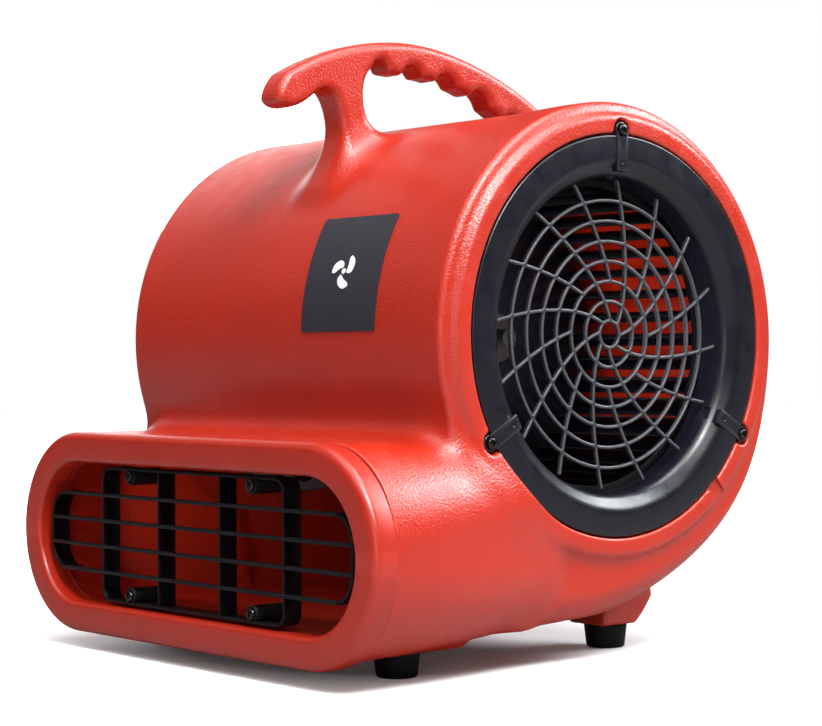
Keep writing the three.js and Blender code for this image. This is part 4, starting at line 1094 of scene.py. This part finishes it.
def dial_and_knob():
    face, edge = DIAL_X - 0.3, DIAL_HIGH[1]
    plate = filleted([(5.6, face, 0), (edge, face, 0), (edge, face - 0.8, 0.3), (5.6, face - 0.8, 0)], 3)
    build("dial_disc", *turned(plate), "dial", ["dial_plate"])
    ticks = []
    marks = {0: 0, 45: 1, 90: 2, 135: 3}
    for angle in range(0, 136, 15):
        inner, width = (20.5, 0.9) if angle in marks else (22, 0.5)
        # Seen from the left, the knob turns clockwise: its pointer goes from the top towards -Y.
        ticks.append(spoke_box(90 + angle, inner, 25.0, width, face - 1.05, face - 0.7, 0.15))
    build("dial_marks", *joined(ticks), "rubber")
    for angle, number in marks.items():
        dial_number(number, 90 + angle, face - 0.8)
    skirt_back, skirt_front, front = DIAL_X - 3.5, DIAL_X - 7.5, node_box("speed_knob")[0][0]
    skirt = filleted([(0, skirt_back, 0), (17, skirt_back, 0.6), (16, skirt_front, 1.4),
                      (0, skirt_front - 0.6, 0)], 5)
    grip = soft_box((front, -4.6, AXIS_Z - 15), (skirt_front + 1.5, 4.6, AXIS_Z + 15), 2.2, 6)
    parts = [turned(skirt, 80), cylinder(3, DIAL_X + 5, skirt_back - 1, 24), grip]
    for angle in range(0, 360, 15):
        parts.append(spoke_box(angle, 14, 17.3, 1.3, skirt_front + 1, skirt_back - 0.6, 0.4))
    groove = soft_box((front - 1, -0.9, AXIS_Z + 4), (front + 0.7, 0.9, AXIS_Z + 17), 0.3)
    build("knob_grip", *merge("knob", parts, [groove]), "black", ["speed_knob"], body="knob")
    pointer = soft_box((front + 0.15, -0.7, AXIS_Z + 4.5), (front + 0.9, 0.7, AXIS_Z + 14.3), 0.2)
    build("knob_pointer", *pointer, "print", body="knob")


def dial_number(number, angle, face):
    """One of the numbers on the dial, standing upright when seen from the left."""
    name = f"dial_number_{number}"
    curve = bpy.data.curves.new(name, "FONT")
    curve.body = str(number)
    curve.size = 0.0075
    curve.extrude = 0.00015
    curve.align_x = curve.align_y = "CENTER"
    text = placed(name, curve)
    bpy.context.view_layer.update()
    mesh = bpy.data.meshes.new_from_object(text.evaluated_get(bpy.context.evaluated_depsgraph_get()))
    y, z = around(29.3, angle)
    mesh.transform(Matrix(((0, 0, -1, (face - 0.1) / 1000), (-1, 0, 0, (y + AXIS_Y) / 1000),
                           (0, 1, 0, z / 1000), (0, 0, 0, 1))))
    bpy.data.objects.remove(text)
    dress(placed(name, mesh), "rubber")


CORD_R = 3.3
CORD_PITCH = 7.7


def cord_path():
    """Out of the gland, inwards round the drum, across, outwards again and down to the plug."""
    inner_r = 58 + CORD_R + 3
    outer_x, inner_x = -184.4, -176.6
    start_angle, inward, stepping, outward = -130, 2.25, 1 / 3, 2.8
    total = inward + stepping + outward
    gland_r = AXIS_Z - GLAND_Z
    points = [(x, *around(gland_r, 270)) for x in (-160, -166, LEFT_X - 2, LEFT_X - 8)]
    points.append((outer_x + 3, *around(gland_r - 1, 265)))
    points.append((outer_x, *around(gland_r - 5, 252)))
    end_angle = -360 * math.ceil((360 * total - start_angle) / 360 - 0.5)
    count = round((start_angle - end_angle) / 360 * 16)
    for i in range(count + 1):
        angle = start_angle + (end_angle - start_angle) * i / count
        turn = (start_angle - angle) / 360
        left = max(0, inward - turn)
        past = max(0, turn - inward - stepping)
        across = min(1, max(0, (turn - inward) / stepping))
        x = outer_x + (inner_x - outer_x) * across
        points.append((x, *around(inner_r + CORD_PITCH * (left + past), angle)))
    end_y, plug_x, plug_top = points[-1][1], (PLUG_LOW[0] + PLUG_HIGH[0]) / 2, PLUG_HIGH[2]
    points.append((plug_x + 1.5, end_y + 0.5, plug_top + 16))
    points.append((plug_x, end_y, plug_top - 1))
    return np.array(points, float)


def spline(points, per_span=5):
    """A smooth line through a row of points, each stretch bent by its neighbours."""
    padded = np.vstack([2 * points[0] - points[1], points, 2 * points[-1] - points[-2]])
    line = []
    for a, b, c, d in zip(padded, padded[1:], padded[2:], padded[3:]):
        for step in range(per_span):
            t = step / per_span
            line.append(0.5 * (2 * b + (c - a) * t + (2 * a - 5 * b + 4 * c - d) * t ** 2
                               + (3 * b - a - 3 * c + d) * t ** 3))
    return np.array(line + [points[-1]])


def cord_and_plug():
    build("cord_run", *tube(spline(cord_path()), CORD_R, 18), "cord", ["power_cord"], 0)
    inner = CORD_R + 0.9
    corners = [(inner, LEFT_X + 6, 0), (6.6, LEFT_X + 6, 0), (6.6, LEFT_X - 0.3, 0), (9, LEFT_X - 0.3, 0),
               (9, LEFT_X - 3, 0.8), (6.8, LEFT_X - 3.4, 0.4), (5.6, LEFT_X - 6, 0.8),
               (inner, LEFT_X - 6, 0)]
    build("gland_body", *turned(filleted(corners, 4), 48, (0, 0, GLAND_Z)), "black", ["cord_gland"])
    plug_x, plug_y = (PLUG_LOW[0] + PLUG_HIGH[0]) / 2, (PLUG_LOW[1] + PLUG_HIGH[1]) / 2
    top, bottom = PLUG_HIGH[2], PLUG_LOW[2]
    sections = []
    waist = [(0, 4.2, 4.2), (1, 4.8, 4.8), (3, 4.9, 4.9), (4, 4.4, 4.4), (6, 5.2, 5.2), (7, 4.7, 4.7),
             (9, 5.6, 5.6), (11, 6.5, 6.2), (14, 9.6, 7.8), (18, 13.2, 9.2), (26, 14.8, 9.9),
             (36, 15.9, 10.4), (41, 15.9, 10.4), (43, 15.2, 9.9), (44, 14, 9)]
    scale = (top - bottom) / waist[-1][0]
    for depth, half_y, half_x in waist:
        square = 2 + 1.6 * ease(depth, 8, 20)
        ring = []
        for t in 2 * math.pi * np.arange(40) / 40:
            c, s = math.cos(t), math.sin(t)
            ring.append((plug_x + half_x * math.copysign(abs(s) ** (2 / square), s),
                         plug_y + half_y * math.copysign(abs(c) ** (2 / square), c), top - depth * scale))
        sections.append(ring)
    build("plug_body", *swept(sections), "cord", ["mains_plug"], 40)


# ---- feet ----

def feet():
    for name, (x, y) in zip(FOOT_NAMES, FEET):
        corners = [(1.9, FOOT_TOP_Z, 0), (14.5, FOOT_TOP_Z, 0.8), (12.6, 0, 2), (5.5, 0, 0.8),
                   (5.5, 8, 0.3), (1.9, 8, 0), (1.9, FOOT_TOP_Z, 0)]
        pad = turned(filleted(corners, 5)[:-1], 72, (x, y, 0), "+z")
        build("pad_" + name, *pad, "rubber", ["foot_" + name])
        pan_head("foot_screw_" + name, "-z", "steel")


# ---- CAD nodes that stay ----

def carried_over():
    """Gives each CAD node that is still shown the material of its slot."""
    only_here = ("print", "wheel", "bars")
    by_slot = {slot: finish for key, (finish, slot) in MATERIALS.items() if key not in only_here}
    slots = {part["node"]: part["material_slot"] for part in frame["record"]["subparts"]}
    for name, node in frame["nodes"].items():
        if node.hide_render:
            continue
        node.data.materials.clear()
        node.data.materials.append(by_slot[slots[name]])
        node.data.shade_smooth()
        node.data.set_sharp_from_angle(angle=math.radians(32))


# ---- studio ----

def area_light(name, place, target, size, power, colour=(1, 1, 1), seen=True):
    light = bpy.data.lights.new(name, "AREA")
    light.shape = "RECTANGLE"
    light.size, light.size_y = size
    light.energy = power
    light.color = colour
    lamp = placed(name, light)
    lamp.location = place
    lamp.rotation_euler = (Vector(target) - Vector(place)).to_track_quat("-Z", "Y").to_euler()
    lamp.visible_camera = lamp.visible_glossy = seen


def studio():
    half = 6.0
    floor = mesh_object("floor", [(-half, -half, 0), (half, -half, 0), (half, half, 0), (-half, half, 0)],
                        [(0, 1, 2, 3)])
    floor.data.materials.append(floor_finish())

    world = bpy.data.worlds.new("studio")
    world.use_nodes = True
    nodes, link = world.node_tree.nodes, world.node_tree.links.new
    ambient, backdrop = nodes["Background"], nodes.new("ShaderNodeBackground")
    for glow, strength in ((ambient, 0.07), (backdrop, 1.0)):
        glow.inputs["Color"].default_value = (1, 1, 1, 1)
        glow.inputs["Strength"].default_value = strength
    switch = nodes.new("ShaderNodeMixShader")
    link(nodes.new("ShaderNodeLightPath").outputs["Is Camera Ray"], switch.inputs[0])
    link(ambient.outputs[0], switch.inputs[1])
    link(backdrop.outputs[0], switch.inputs[2])
    link(switch.outputs[0], nodes["World Output"].inputs[0])
    bpy.context.scene.world = world

    middle, near_inlet = (0, 0, 0.2), (0.1, 0, 0.2)
    area_light("key", (0.85, 1.55, 1.4), (0.15, 0, 0.12), (1.2, 0.8), 52, (0.90, 0.97, 1))
    area_light("overhead", (0.5, 0.4, 2.0), middle, (0.6, 0.6), 12)
    area_light("left_sheen", (-2.0, 0.2, 1.4), middle, (1.2, 1.2), 4)
    area_light("service_side", (-1.9, 0.9, 0.8), middle, (0.8, 0.8), 6)
    area_light("front_left", (-1.35, -1.35, 1.2), (0, 0, 0.3), (1.1, 0.9), 1.5)
    area_light("front_right", (1.5, -0.5, 2.0), near_inlet, (0.8, 0.8), 80)
    area_light("camera_side", (1.5, -1.7, 0.55), near_inlet, (0.5, 0.8), 6)
    area_light("in_outlet", (0, -0.125, 0.085), (0, 0.1, 0.08), (0.3, 0.06), 0.08, seen=False)
    area_light("in_wheel", (0.07, 0.03, 0.207), (0.06, 0.2, 0.207), (0.10, 0.10), 0.4, seen=False)
    sun = bpy.data.lights.new("sky", "SUN")
    sun.energy = 2.9
    sun.angle = math.radians(70)
    down = Vector((-0.15, 0.2, -1))
    placed("sky", sun).rotation_euler = down.to_track_quat("-Z", "Y").to_euler()


def camera():
    """The view from the front right at half the machine's height."""
    lens = bpy.data.cameras.new("camera")
    lens.sensor_width = 36
    lens.lens = 94.1
    lens.shift_x, lens.shift_y = -0.0018, -0.0036
    eye = placed("camera", lens)
    heading, roll = math.radians(49.93), math.radians(-0.21)
    forward = Vector((-math.sin(heading), math.cos(heading), math.tan(math.radians(0.075))))
    eye.rotation_mode = "QUATERNION"
    tilt = Matrix.Rotation(roll, 3, "Z").to_quaternion()
    eye.rotation_quaternion = forward.to_track_quat("-Z", "Y") @ tilt
    eye.location = (1.1240, -0.9766 + AXIS_Y / 1000, 0.1904)
    bpy.context.scene.camera = eye


housing()
outlet_collar()
outlet_grille()
inlet_ring()
inlet_guard()
blower_wheel()
label_plate()
service_cover()
dial_and_knob()
cord_and_plug()
feet()
for screw_node in GRILLE_SCREWS:
    pan_head(screw_node, "-y")
for screw_number in (1, 2, 3):
    pan_head(f"inlet_screw_{screw_number}", "+x")
    pan_head(f"cover_screw_{screw_number}", "-x")
carried_over()
studio()
camera()
bpy.context.scene.view_settings.view_transform = "Standard"
bpy.context.scene.cycles.use_denoising = True
